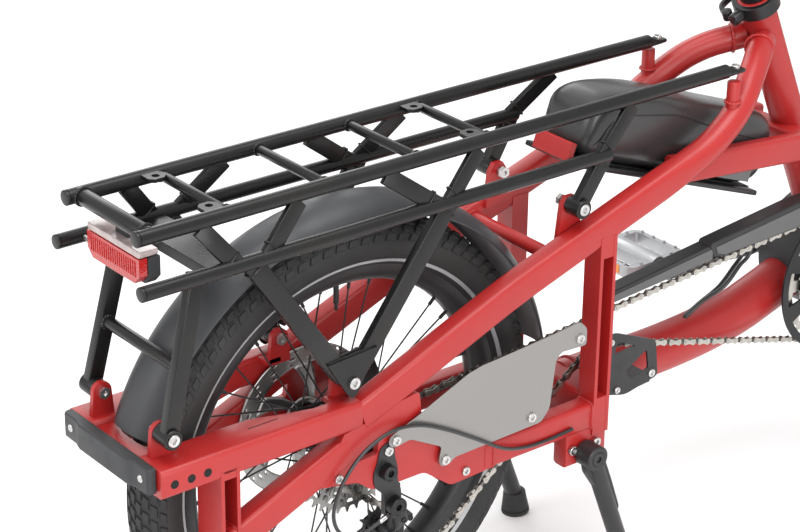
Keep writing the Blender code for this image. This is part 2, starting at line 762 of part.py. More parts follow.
def pedal(name, side, forward):
    """Cage with two windows round a bored barrel."""
    x = CRANK_X + forward * CRANK_LENGTH
    half_x = 0.048
    half_y = 0.046
    middle_y = side * 0.1450
    cage = box((x - half_x, x + half_x), (middle_y - half_y, middle_y + half_y),
               (CRANK_Z - 0.0105, CRANK_Z + 0.0105), 0.002, 1)
    windows = [box((x + near, x + far), (middle_y - 0.036, middle_y + 0.036),
                   (CRANK_Z - 0.02, CRANK_Z + 0.02))
               for near, far in ((-0.040, -0.0125), (0.0125, 0.040))]
    cage = carve(cage, *windows)
    barrel = pin((x, CRANK_Z), (middle_y - 0.045, middle_y + 0.045), 0.0135, 20)
    bore = pin((x, CRANK_Z), (middle_y - 0.06, middle_y + 0.06), 0.0068, 16)
    return finish(carve(fuse(cage, barrel), bore), name, bare_alloy(), 35)


def belt_route(wheels, spacing):
    """The closed path of a chain that goes round wheels in turn. Each wheel is (x, z, radius,
    turn); turn is 1 where the chain turns left there and -1 where it turns right."""
    touches = []
    count = len(wheels)
    for number, (x, z, radius, turn) in enumerate(wheels):
        next_x, next_z, next_radius, next_turn = wheels[(number + 1) % count]
        span = Vector((next_x - x, next_z - z))
        offset = next_turn * next_radius - turn * radius
        angle = math.atan2(span[1], span[0]) - math.asin(offset / span.length)
        left = Vector((-math.sin(angle), math.cos(angle)))
        leave = Vector((x, z)) - left * turn * radius
        arrive = Vector((next_x, next_z)) - left * next_turn * next_radius
        touches.append((leave, arrive, angle))
    route = []
    for number, (x, z, radius, turn) in enumerate(wheels):
        arrive_angle = touches[number - 1][2]
        leave_angle = touches[number][2]
        sweep = (leave_angle - arrive_angle) * turn % math.tau
        steps = max(2, round(sweep * radius / spacing))
        for step in range(steps + 1):
            angle = arrive_angle + turn * sweep * step / steps
            left = Vector((-math.sin(angle), math.cos(angle)))
            route.append(Vector((x, z)) - left * turn * radius)
    return route


def chain():
    """The roller chain as one closed band round ring, idler, pulleys and driving sprocket."""
    small = pitch_radius(PULLEY_TEETH)
    wheels = [(0.0, AXLE_Z, pitch_radius(COG_TEETH[DRIVING_COG]), -1),
              (CRANK_X, CRANK_Z, pitch_radius(CHAINRING_TEETH), -1),
              (*IDLER, small, 1), (*TENSION_PULLEY, small, -1), (*GUIDE_PULLEY, small, 1)]
    route = belt_route(wheels, 0.011)
    count = len(route)
    outer = []
    inner = []
    for number, point in enumerate(route):
        run = route[(number + 1) % count] - route[number - 1]
        run.normalize()
        left = Vector((-run[1], run[0]))
        outer.append(point + left * CHAIN_HALF_HEIGHT)
        inner.append(point - left * CHAIN_HALF_HEIGHT)
    band = (CHAIN_Y - CHAIN_HALF_WIDTH, CHAIN_Y + CHAIN_HALF_WIDTH)
    return finish(plate(outer, band, [inner]), "chain", brushed_steel())


def pulley(name, centre, bore):
    outer = root_radius(PULLEY_TEETH)
    disc = pin(centre, (CHAIN_Y - 0.0015, CHAIN_Y + 0.0015), outer, 18)
    boss = pin(centre, (CHAIN_Y - 0.0040, CHAIN_Y + 0.0040), 0.0090, 12)
    hole = pin(centre, (CHAIN_Y - 0.02, CHAIN_Y + 0.02), bore, 12)
    return finish(carve(fuse(disc, boss), hole), name, black_plastic(), 35)


def idler_bracket():
    """Plate with two windows that holds the idler in front of the strut."""
    outline = [(0.3265, 0.252), (0.338, 0.236), (0.372, 0.2265), (0.424, 0.236), (0.418, 0.284),
               (0.352, 0.312), (0.338, 0.308), (0.3265, 0.296)]
    windows = [[(0.352, 0.284), (0.386, 0.286), (0.356, 0.300)],
               [(0.372, 0.258), (0.404, 0.276), (0.408, 0.250), (0.378, 0.244)]]
    face = plate(outline, (-0.0645, -0.0615), windows)
    axle_pin = pin(IDLER, (-0.0675, -0.0400), 0.0040, 16)
    washer = pin(IDLER, (-0.0625, -0.0505), 0.0075, 16)
    foot = box((0.386, 0.414), (-0.0625, -0.0300), (0.2275, 0.2400), 0.0)
    made = fuse(face, axle_pin, washer, foot)
    return finish(made, "idler_bracket", black_metal(), 35)


def derailleur_body():
    """Upper knuckle on the hanger, the links and the lower knuckle that carries the cage."""
    upper = pin((0.011, 0.217), (-0.0990, -0.0849), 0.0110, 20)
    lower = pin((0.026, 0.172), (-0.0740, -0.0546), 0.0125, 20)
    link = tube(rounded([(0.011, -0.0942, 0.214), (0.018, -0.0900, 0.190), (0.026, -0.0650, 0.174)],
                        0.012, 3), 0.0080, 2)
    return finish(fuse(upper, lower, link), "derailleur_body", black_metal(), 35)


def derailleur_cage():
    """Two plates joined by the pulley pins."""
    outline = capsule_points(GUIDE_PULLEY, TENSION_PULLEY, 0.0110, 0.0085)
    outer = plate(outline, (-0.0540, -0.0525))
    inner = plate(outline, (-0.0395, -0.0380))
    pins = [pin(spot, (-0.0540, -0.0380), 0.0030, 12) for spot in (GUIDE_PULLEY, TENSION_PULLEY)]
    return finish(fuse(outer, *pins, inner), "derailleur_cage", black_metal(), 35)


def chain_case():
    """Cover above the upper run of the chain and over the front of the chainring."""
    top = []
    bottom = []
    for step in range(9):
        angle = math.radians(104 - 74 * step / 8)
        top.append((CRANK_X + 0.127 * math.cos(angle), CRANK_Z + 0.127 * math.sin(angle)))
        bottom.append((CRANK_X + 0.106 * math.cos(angle), CRANK_Z + 0.106 * math.sin(angle)))
    outline = [(0.328, 0.3470), (0.328, 0.3600), (0.500, 0.3785), (0.502, 0.3815), (0.650, 0.3975), *top,
               *bottom[::-1], (0.660, 0.3640), (0.503, 0.3600)]
    face = plate(outline, (-0.0620, -0.0380))
    tab = box((0.700, 0.722), (-0.0400, -0.0235), (0.386, 0.394))
    return finish(fuse(face, tab), "chain_case", black_plastic(), 35)


def guard_plate():
    """Stainless plate over the chain beside the wheel."""
    outline = [(0.000, 0.292), (0.004, 0.304), (0.037, 0.315), (0.110, 0.3455), (0.129, 0.3495),
               (0.234, 0.3570), (0.270, 0.3610), (0.281, 0.3500), (0.281, 0.3290), (0.243, 0.3310),
               (0.236, 0.3230), (0.229, 0.2660), (0.217, 0.2520), (0.092, 0.2485), (0.076, 0.2420),
               (0.068, 0.2520), (0.074, 0.2620), (0.030, 0.2920)]
    holes = [ring_points((0.202, 0.2630), 0.0030, 10), ring_points((0.2705, 0.3400), 0.0030, 10)]
    face = plate(outline, (-0.0920, -0.0905), holes)
    spacers = [pin(spot, (-0.0912, -0.0869), 0.0055, 14) for spot in ((0.012, 0.2965), (0.079, 0.2505))]
    return finish(fuse(face, *spacers), "guard_plate", brushed_steel(), 35)


# ---------------------------------------------------------------- battery
BATTERY_CENTRE = (0.468, 0.517)
BATTERY_TILT = math.radians(20)


def tilted_box(x_range, y_range, z_range, bevel, segments):
    """A box in the battery's own frame, whose x runs down its slope to the front."""
    made = box(x_range, y_range, z_range, bevel, segments)
    made.matrix_world = (Matrix.Translation((BATTERY_CENTRE[0], 0, BATTERY_CENTRE[1]))
                         @ Matrix.Rotation(BATTERY_TILT, 4, "Y"))
    return settle(made)


def battery():
    case = tilted_box((-0.155, 0.155), (-0.044, 0.044), (-0.046, 0.046), 0.011, 2)
    return finish(case, "battery", black_plastic(), 35)


def battery_cradle():
    """Tray under the battery, between the side tubes, with a stop at its upper end."""
    tray = tilted_box((-0.160, 0.150), (-0.0455, 0.0455), (-0.0530, -0.0465), 0.0, 1)
    tail_stop = tilted_box((-0.1620, -0.1556), (-0.030, 0.030), (-0.0520, -0.0080), 0.0, 1)
    made = fuse(tray, tail_stop)
    return finish(made, "battery_cradle", frame_red(), 35)


# ---------------------------------------------------------------- steering
def fork():
    """Steerer, crown, two blades and the dropouts that hold the front axle."""
    crown = on_line(STEER_POINT, HEAD_ANGLE, -0.095)
    steerer = cylinder(crown, on_line(STEER_POINT, HEAD_ANGLE, 0.125), 0.0140, 16)
    race = cylinder(on_line(STEER_POINT, HEAD_ANGLE, -0.100), on_line(STEER_POINT, HEAD_ANGLE, -0.0790),
                    0.0240, 20)
    bridge = tube(rounded([(WHEELBASE, -0.0660, AXLE_Z), (crown[0] + 0.004, -0.0660, crown[2]),
                           (crown[0] + 0.004, 0.0660, crown[2]), (WHEELBASE, 0.0660, AXLE_Z)],
                          0.035, 2), 0.0135, 2)
    made = fuse(steerer, race, bridge)
    ends = [pin((WHEELBASE, AXLE_Z), sorted((side * 0.0553, side * 0.0800)), 0.0140, 16)
            for side in (-1, 1)]
    made = fuse(made, *ends)
    bore = pin((WHEELBASE, AXLE_Z), (-0.10, 0.10), AXLE_RADIUS + FIT_GAP, 16)
    gap = pin((WHEELBASE, AXLE_Z), (-FRONT_HUB_HALF - 0.0003, FRONT_HUB_HALF + 0.0003), 0.0260, 24)
    return finish(carve(made, bore, gap), "fork", frame_red(), 35)


def caliper(name, centre_x, radius, lean, rotor_y, span):
    """Brake caliper that straddles the rotor, with a slot wider than the rotor."""
    angle = math.radians(lean)
    middle = (centre_x + radius * math.cos(angle), AXLE_Z + radius * math.sin(angle))
    body = box((-0.018, 0.018), (rotor_y + span[0], rotor_y + span[1]), (-0.027, 0.027), 0.005, 2)
    body.matrix_world = (Matrix.Translation((middle[0], 0, middle[1]))
                         @ Matrix.Rotation(-angle, 4, "Y"))
    body = settle(body)
    slot = pin((centre_x, AXLE_Z), (rotor_y - 0.0022, rotor_y + 0.0022), ROTOR_RADIUS + 0.004, 32)
    return finish(carve(body, slot), name, black_metal(), 35)


def stem():
    """Tall stem on top of the steerer, bored for it, with the clamp that holds the bar."""
    foot = 0.0895
    bar = Vector((BAR_CENTRE[0], 0, BAR_CENTRE[1]))
    top = on_line(STEER_POINT, HEAD_ANGLE, 0.425)
    post = cylinder(on_line(STEER_POINT, HEAD_ANGLE, foot), top, 0.0185, 16)
    collar = cylinder(on_line(STEER_POINT, HEAD_ANGLE, foot), on_line(STEER_POINT, HEAD_ANGLE, 0.128),
                      0.0225, 20)
    clamp = cylinder(bar + Vector((0, -0.026, 0)), bar + Vector((0, 0.026, 0)), 0.0215, 20)
    bore = cylinder(on_line(STEER_POINT, HEAD_ANGLE, 0.05), on_line(STEER_POINT, HEAD_ANGLE, 0.1265),
                    0.0146, 16)
    bar_bore = cylinder(bar + Vector((0, -0.04, 0)), bar + Vector((0, 0.04, 0)), BAR_RADIUS + FIT_GAP, 20)
    made = carve(fuse(post, collar, clamp), bore, bar_bore)
    return finish(made, "stem", black_metal(), 35)


BAR_HALF = [(0.978, 0.0, 1.062), (0.978, 0.055, 1.062), (0.962, 0.140, 1.100), (0.932, 0.200, 1.104),
            (0.884, 0.330, 1.100)]


def bar_route(reach=1.0):
    """The bar from right end to left end; reach shortens or lengthens its last stretch."""
    half = [Vector(point) for point in BAR_HALF]
    half[-1] = half[-2] + (half[-1] - half[-2]) * reach
    right = [Vector((p.x, -p.y, p.z)) for p in half[:0:-1]]
    return rounded(right + half[1:], 0.045, 3)


def bar_cutter():
    """The bar with room around it and beyond its ends."""
    return tube(bar_route(1.01), BAR_RADIUS + 2 * FIT_GAP, 2)


def handlebar():
    return finish(tube(bar_route(), BAR_RADIUS, 2), "handlebar", black_metal(), 35)


def bar_spot(side, share, forward=0.0, up=0.0):
    """A place beside the straight end of the bar; share runs from 0 inside to 1 at its end."""
    start = Vector(BAR_HALF[-2])
    end = Vector(BAR_HALF[-1])
    spot = start.lerp(end, share)
    return Vector((spot.x + forward, side * spot.y, spot.z + up))


def grip(name, side):
    outer = cylinder(bar_spot(side, 0.34), bar_spot(side, 1.035), 0.0165, 16)
    return finish(carve(outer, bar_cutter()), name, rubber(), 35)


def brake_clamp(name, side):
    """Clamp ring and fluid cylinder of one brake lever."""
    ring = cylinder(bar_spot(side, 0.10), bar_spot(side, 0.22), 0.0185, 16)
    body = cylinder(bar_spot(side, -0.10, 0.026), bar_spot(side, 0.20, 0.026), 0.0105, 14)
    neck = cylinder(bar_spot(side, 0.16), bar_spot(side, 0.16, 0.028), 0.0085, 12)
    made = carve(fuse(ring, neck, body), bar_cutter())
    if side < 0:
        pod = cylinder(bar_spot(side, 0.16, 0.0, -0.0165), bar_spot(side, 0.16, 0.004, -0.034), 0.0110, 16)
        made = fuse(made, pod)
    return finish(made, name, black_metal(), 35)


def lever_pivot(side):
    return bar_spot(side, 0.30, 0.030)


def brake_lever(name, side):
    """Curved blade that swings towards the grip about an upright pin."""
    pivot = lever_pivot(side)
    route = rounded([pivot, bar_spot(side, 0.42, 0.046), bar_spot(side, 0.74, 0.052),
                     bar_spot(side, 1.0, 0.060)], 0.03, 3)
    blade = tube(route, 0.0052, 2)
    knuckle = cylinder(pivot + Vector((0, 0, -0.0075)), pivot + Vector((0, 0, 0.0075)), 0.0068, 14)
    return finish(fuse(blade, knuckle), name, bare_alloy(), 35)


def trigger_pivot():
    return bar_spot(-1, 0.16, 0.004, -0.0385)


def shift_trigger():
    """Thumb lever below the right grip."""
    pivot = trigger_pivot()
    paddle = capsule_points((pivot.x, pivot.y), (pivot.x - 0.030, pivot.y + 0.004), 0.0075, 0.0060)
    line = plate(paddle, (-0.0015, 0.0015))
    line.matrix_world = Matrix.Translation((0, 0, pivot.z)) @ Matrix.Rotation(math.radians(-90), 4, "X")
    return finish(settle(line), "shift_trigger", black_metal(), 35)


def headlight():
    place = on_line(STEER_POINT, HEAD_ANGLE, 0.215)
    turn = Matrix.Translation(place + Vector((0.030, 0, 0.0))) @ Matrix.Rotation(math.radians(90), 4, "Y")
    profile = [(0.0, 0.040), (0.020, 0.040), (0.026, 0.036), (0.026, 0.012), (0.016, -0.004),
               (0.0, -0.004)]
    made = lathe(profile, turn, 24)
    return finish(made, "headlight", black_plastic(), 35)


# ---------------------------------------------------------------- seat
def seatpost():
    """Straight post with the rail clamp on its head."""
    low = on_line(SEAT_TOP, SEAT_ANGLE, -0.150)
    high = on_line(SEAT_TOP, SEAT_ANGLE, 0.215)
    post = cylinder(low, high, POST_RADIUS, 32)
    head = box((high[0] - 0.026, high[0] + 0.026), (-0.022, 0.022), (high[2] - 0.014, high[2] + 0.018),
               0.005, 2)
    return finish(fuse(post, head), "seatpost", black_metal(), 35)


def saddle():
    """Padded saddle: oval sections that narrow from the broad back to the nose."""
    back = on_line(SEAT_TOP, SEAT_ANGLE, 0.215)
    base_z = back[2] + 0.0190
    sections = 10
    around = 14
    points = []
    faces = []
    for row in range(sections):
        t = row / (sections - 1)
        x = back[0] - 0.130 + 0.268 * t
        half = 0.085 * math.exp(-(max(t - 0.18, 0.0) / 0.36) ** 2 * 1.9) + 0.018 * t + 0.004
        end = math.sin(math.pi * min(max(t, 0.04), 0.96)) ** 0.35
        half *= end
        height = 0.024 + 0.012 * (1 - t) * end
        middle = base_z + 0.030 + 0.006 * (1 - t)
        for step in range(around):
            angle = math.tau * step / around
            y = half * math.cos(angle)
            z = middle + height * math.sin(angle) * (0.9 if math.sin(angle) < 0 else 0.6)
            points.append((x, y, z))
    for row in range(sections - 1):
        for step in range(around):
            after = (step + 1) % around
            low = row * around
            high = low + around
            faces.append((low + step, low + after, high + after, high + step))
    faces.append(tuple(range(around))[::-1])
    faces.append(tuple(range((sections - 1) * around, sections * around)))
    mesh = bpy.data.meshes.new("saddle")
    mesh.from_pydata(points, [], faces)
    made = put("saddle", mesh)
    shape = bmesh.new()
    shape.from_mesh(mesh)
    bmesh.ops.recalc_face_normals(shape, faces=shape.faces)
    shape.to_mesh(mesh)
    shape.free()
    return finish(made, "saddle", black_plastic(), 60)


CLAMP_LOW = -0.018
CLAMP_HIGH = 0.004


def clamp_middle():
    return on_line(SEAT_TOP, SEAT_ANGLE, (CLAMP_LOW + CLAMP_HIGH) / 2 - 0.002)


def clamp_back():
    """Direction from the seat axis to the clamp's ear."""
    return Vector((-math.sin(SEAT_ANGLE), 0, -math.cos(SEAT_ANGLE)))


def clamp_pivot():
    return clamp_middle() + clamp_back() * 0.034 + Vector((0, 0.0145, 0))


def seat_clamp():
    """Split collar round the top of the seat tube, with the ear that holds its lever."""
    profile = [(SEAT_RADIUS + FIT_GAP, CLAMP_HIGH - 0.0045), (0.0275, CLAMP_HIGH - 0.0045),
               (0.0275, CLAMP_LOW), (SEAT_RADIUS + FIT_GAP, CLAMP_LOW)]
    ring = lathe(profile, along(SEAT_TOP, SEAT_ANGLE), 24)
    middle = clamp_middle()
    back = clamp_back()
    ear = cylinder(middle + back * 0.024, middle + back * 0.041, 0.0075, 14)
    return finish(fuse(ring, ear), "seat_clamp", black_metal(), 35)


def clamp_lever():
    """Quick-release lever that lies along the collar and swings out about the seat axis."""
    middle = clamp_middle()
    back = clamp_back()
    up = Vector((-math.cos(SEAT_ANGLE), 0, math.sin(SEAT_ANGLE)))
    pivot = clamp_pivot()
    knuckle = cylinder(pivot - up * 0.006, pivot + up * 0.006, 0.0062, 14)
    route = rounded([pivot, middle + back * 0.028 + Vector((0, 0.034, 0)),
                     middle - back * 0.020 + Vector((0, 0.036, 0))], 0.012, 3)
    blade = tube(route, 0.0042, 2)
    return finish(fuse(knuckle, blade), "clamp_lever", black_metal(), 35)


# ---------------------------------------------------------------- stand
def stand():
    """Two legs on one shaft; its rubber feet stand on the ground when it is down."""
    foot = (0.356, 0.016)
    shaft = pin(STAND_PIVOT, (-STAND_HALF - 0.010, STAND_HALF + 0.010), 0.0092, 14)
    made = shaft
    for side in (-1, 1):
        leg = cylinder((STAND_PIVOT[0], side * STAND_HALF, STAND_PIVOT[1]),
                       (foot[0], side * STAND_HALF, foot[1]), 0.0105, 12)
        knuckle = pin(STAND_PIVOT, sorted((side * (STAND_HALF - 0.0130), side * (STAND_HALF + 0.0125))),
                      0.0150, 16)
        pad = cylinder((foot[0], side * STAND_HALF, -0.002), (foot[0] - 0.003, side * STAND_HALF, 0.030),
                       0.0175, 16, 0.0135)
        made = fuse(made, leg, knuckle, flat_foot(pad))
    return finish(made, "stand", black_metal(), 35)


def flat_foot(pad):
    """Cut a foot level with the ground."""
    below = box((0.2, 0.5), (-0.2, 0.2), (-0.05, 0.0))
    return carve(pad, below)


# ---------------------------------------------------------------- cables
def shift_cable():
    """Cable housing from the chainstay, over the guard plate and round to the derailleur."""
    route = [(0.268, -0.0896, 0.2260), (0.230, -0.0896, 0.2240), (0.195, -0.0910, 0.2270),
             (0.160, -0.0950, 0.2390), (0.120, -0.0960, 0.2640), (0.080, -0.0960, 0.2880),
             (0.040, -0.0960, 0.3070), (0.002, -0.0960, 0.3120), (-0.036, -0.0955, 0.2980),
             (-0.064, -0.0950, 0.2680), (-0.074, -0.0945, 0.2360), (-0.064, -0.0940, 0.2100),
             (-0.040, -0.0935, 0.1990), (-0.0040, -0.0930, 0.2080)]
    return finish(tube(smooth_route(route, 3), 0.0021, 1), "shift_cable", black_plastic())


def smooth_route(points, steps):
    """A curve through every point (Catmull-Rom)."""
    points = [Vector(point) for point in points]
    padded = [points[0] * 2 - points[1], *points, points[-1] * 2 - points[-2]]
    route = []
    for a, b, c, d in zip(padded, padded[1:], padded[2:], padded[3:]):
        for step in range(steps):
            t = step / steps
            route.append(0.5 * ((2 * b) + (c - a) * t + (2 * a - 5 * b + 4 * c - d) * t ** 2
                                + (3 * b - a - 3 * c + d) * t ** 3))
    route.append(points[-1])
    return route


# ---------------------------------------------------------------- assembly
def joint_empty(name, location, parent):
    empty = bpy.data.objects.new(name, None)
    collection(PARTS).objects.link(empty)
    empty.empty_display_size = 0.03
    empty.parent = parent
    shift = Vector((REAR_AXLE_X, 0, 0)) if parent is None else Vector((0, 0, 0))
    empty.location = Vector(location) + shift
    return empty


def build():
    clear_scene()
    collection(CUTTERS)
    fixed = [*side_trusses(), upper_stays(), seat_tube(), main_tube(), down_tube(), head_tube(),
             deck(), rack_side("rack_side_right", -1), rack_side("rack_side_left", 1), rack_plate(),
             leg_brace(), bumper(), *tail_light(), mudguard("rear_mudguard", 0.0, 8, 160), motor(), chain(),
             idler_bracket(), derailleur_body(), chain_case(), guard_plate(), battery(),
             battery_cradle(), caliper("rear_caliper", 0.0, 0.082, 22, 0.0595, (-0.020, 0.0125)),
             seat_clamp(), shift_cable(), axle("rear_axle", 0.0, 0.0990, 0.0930, 0.0865)]
    steered = [fork(), mudguard("front_mudguard", WHEELBASE, 28, 196), stem(), handlebar(),
               grip("grip_right", -1), grip("grip_left", 1), brake_clamp("brake_clamp_right", -1),
               brake_clamp("brake_clamp_left", 1), headlight(),
               caliper("front_caliper", WHEELBASE, 0.082, 150, 0.0400, (-0.018, 0.0105)),
               axle("front_axle", WHEELBASE, 0.0880, 0.0870, 0.0800)]
    rear_wheel = [tyre("rear_tyre", 0.0), rim("rear_rim", 0.0),
                  hub("rear_hub", 0.0, REAR_HUB_HALF, (-0.0180, 0.0350), 0.0595, 0.026, 0.016)]
    front_wheel = [tyre("front_tyre", WHEELBASE), rim("front_rim", WHEELBASE),
                   hub("front_hub", WHEELBASE, FRONT_HUB_HALF, (-0.0330, 0.0250), 0.0400, 0.022, 0.014)]
    whole = joint_empty("bicycle", (0, 0, 0), None)
    groups = {
        "frame": ((0, 0, 0), fixed),
        "steering": ((STEER_POINT[0], 0, STEER_POINT[1]), steered),
        "rear_wheel": ((0, 0, AXLE_Z), rear_wheel),
        "freewheel": ((0, 0, AXLE_Z), [cassette()]),
        "front_wheel": ((WHEELBASE, 0, AXLE_Z), front_wheel),
        "cranks": ((CRANK_X, 0, CRANK_Z), [crankset()]),
        "right_pedal": ((CRANK_X + CRANK_LENGTH, 0, CRANK_Z), [pedal("pedal_right", -1, 1)]),
        "left_pedal": ((CRANK_X - CRANK_LENGTH, 0, CRANK_Z), [pedal("pedal_left", 1, -1)]),
        "idler": ((IDLER[0], 0, IDLER[1]), [pulley("idler_wheel", IDLER, 0.0043)]),
        "cage": ((GUIDE_PULLEY[0], 0, GUIDE_PULLEY[1]), [derailleur_cage()]),
        "guide": ((GUIDE_PULLEY[0], 0, GUIDE_PULLEY[1]),
                  [pulley("guide_pulley", GUIDE_PULLEY, 0.0034)]),
        "tension": ((TENSION_PULLEY[0], 0, TENSION_PULLEY[1]),
                    [pulley("tension_pulley", TENSION_PULLEY, 0.0034)]),
        "post": ((SEAT_TOP[0], 0, SEAT_TOP[1]), [seatpost(), saddle()]),
        "quick_release": (clamp_pivot(), [clamp_lever()]),
        "stand_shaft": ((STAND_PIVOT[0], 0, STAND_PIVOT[1]), [stand()]),
        "right_lever": (lever_pivot(-1), [brake_lever("brake_lever_right", -1)]),
        "left_lever": (lever_pivot(1), [brake_lever("brake_lever_left", 1)]),
        "trigger": (trigger_pivot(), [shift_trigger()]),
    }
    for name, (location, members) in groups.items():
        pivot = joint_empty(name + "_axis", location, whole)
        for member in members:
            member.parent = pivot
            member.location = -Vector(location)
    bpy.context.view_layer.update()


build()
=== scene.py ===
"""The cargo bicycle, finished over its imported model.

Lengths are metres. Shapes are written with x measured forwards from the rear axle, y to the
rider's left and z up from the ground; make() moves them into the model's own frame.
"""
import json
import math
import bmesh
import bpy
import numpy as np
from mathutils import Matrix, Vector
from mathutils.geometry import tessellate_polygon


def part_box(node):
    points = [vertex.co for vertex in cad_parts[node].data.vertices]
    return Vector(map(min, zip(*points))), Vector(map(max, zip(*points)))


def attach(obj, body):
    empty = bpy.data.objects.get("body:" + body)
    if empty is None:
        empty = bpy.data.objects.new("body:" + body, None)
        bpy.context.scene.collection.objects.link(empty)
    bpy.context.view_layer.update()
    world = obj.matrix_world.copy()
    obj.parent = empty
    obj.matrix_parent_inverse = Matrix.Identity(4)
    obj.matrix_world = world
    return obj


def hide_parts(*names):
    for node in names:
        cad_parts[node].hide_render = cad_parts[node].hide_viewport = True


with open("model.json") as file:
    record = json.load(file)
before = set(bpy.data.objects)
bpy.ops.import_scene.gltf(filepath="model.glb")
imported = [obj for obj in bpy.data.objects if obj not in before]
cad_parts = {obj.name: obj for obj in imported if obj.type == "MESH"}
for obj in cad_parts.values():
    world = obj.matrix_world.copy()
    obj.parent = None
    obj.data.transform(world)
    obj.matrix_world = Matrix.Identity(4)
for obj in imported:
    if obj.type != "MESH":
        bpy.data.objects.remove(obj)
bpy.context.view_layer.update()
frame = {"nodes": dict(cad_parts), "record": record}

axle_low, axle_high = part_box("rear_axle")
REAR_X = (axle_low[0] + axle_high[0]) / 2

# ---------- studio
# Pale floor, soft light from above and from both sides, and a long lens that looks down on the
# rear half of the bicycle from behind its right side.
scene = bpy.context.scene
turn, tilt, roll = math.radians(-38.428), math.radians(24.398), math.radians(0.658)
forward = Vector((-math.sin(turn) * math.cos(tilt), math.cos(turn) * math.cos(tilt), -math.sin(tilt)))
level = Vector((math.cos(turn), math.sin(turn), 0))
upward = level.cross(forward)
camera_x = math.cos(roll) * level + math.sin(roll) * upward
camera_y = math.cos(roll) * upward - math.sin(roll) * level
camera = bpy.data.objects.new("camera", bpy.data.cameras.new("camera"))
camera.matrix_world = Matrix.Translation((-2.0149, -1.8368, 1.5126)) @ Matrix(
    (camera_x, camera_y, -forward)).transposed().to_4x4()
camera.data.lens = 107.57
camera.data.sensor_width = 36
camera.data.shift_x = 0.0048
camera.data.shift_y = -0.0022
scene.collection.objects.link(camera)
scene.camera = camera

world = bpy.data.worlds.new("studio")
world.use_nodes = True
world.node_tree.nodes["Background"].inputs["Color"].default_value = (1.0, 1.0, 1.0, 1)
world.node_tree.nodes["Background"].inputs["Strength"].default_value = 0.85
scene.world = world
scene.view_settings.view_transform = "Standard"

for label, place, size, power in (("overhead", (-0.6, -0.4, 3.0), 2.4, 75),
                                  ("right_side", (-1.4, -3.2, 1.3), 2.0, 60),
                                  ("behind", (-3.4, 0.9, 1.6), 1.6, 26),
                                  ("left_side", (0.6, 3.0, 1.8), 2.2, 30)):
    lamp = bpy.data.lights.new(label, "AREA")
    lamp.size = size
    lamp.energy = power
    holder = bpy.data.objects.new(label, lamp)
    holder.location = place
    holder.rotation_euler = (Vector((-0.35, 0, 0.4)) - Vector(place)).to_track_quat("-Z", "Y").to_euler()
    scene.collection.objects.link(holder)


def matter(name, roughness, metallic=0.0, coat=0.0):
    """A new material with its Principled shader; colour and relief are wired in by the caller."""
    made = bpy.data.materials.new(name)
    made.use_nodes = True
    shader = made.node_tree.nodes["Principled BSDF"]
    shader.inputs["Roughness"].default_value = roughness
    shader.inputs["Metallic"].default_value = metallic
    if coat:
        shader.inputs["Coat Weight"].default_value = coat
        shader.inputs["Coat Roughness"].default_value = 0.18
    return made, shader


def node(tree, kind, **values):
    """A new node of the given kind with these settings."""
    made = tree.nodes.new(kind)
    for key, value in values.items():
        setattr(made, key, value)
    return made


def noise(tree, vector, scale, detail):
    """A noise field over the vector; its Fac lies about a half."""
    made = node(tree, "ShaderNodeTexNoise")
    made.inputs["Scale"].default_value = scale
    made.inputs["Detail"].default_value = detail
    tree.links.new(vector, made.inputs["Vector"])
    return made.outputs["Fac"]


def ranged(tree, value, low, high, to_low, to_high):
    """The value's range from low to high carried to the range from to_low to to_high."""
    made = node(tree, "ShaderNodeMapRange")
    for socket, number in (("From Min", low), ("From Max", high)):
        made.inputs[socket].default_value = number
    for socket, source in (("To Min", to_low), ("To Max", to_high)):
        if isinstance(source, float):
            made.inputs[socket].default_value = source
        else:
            tree.links.new(source, made.inputs[socket])
    tree.links.new(value, made.inputs["Value"])
    return made.outputs["Result"]


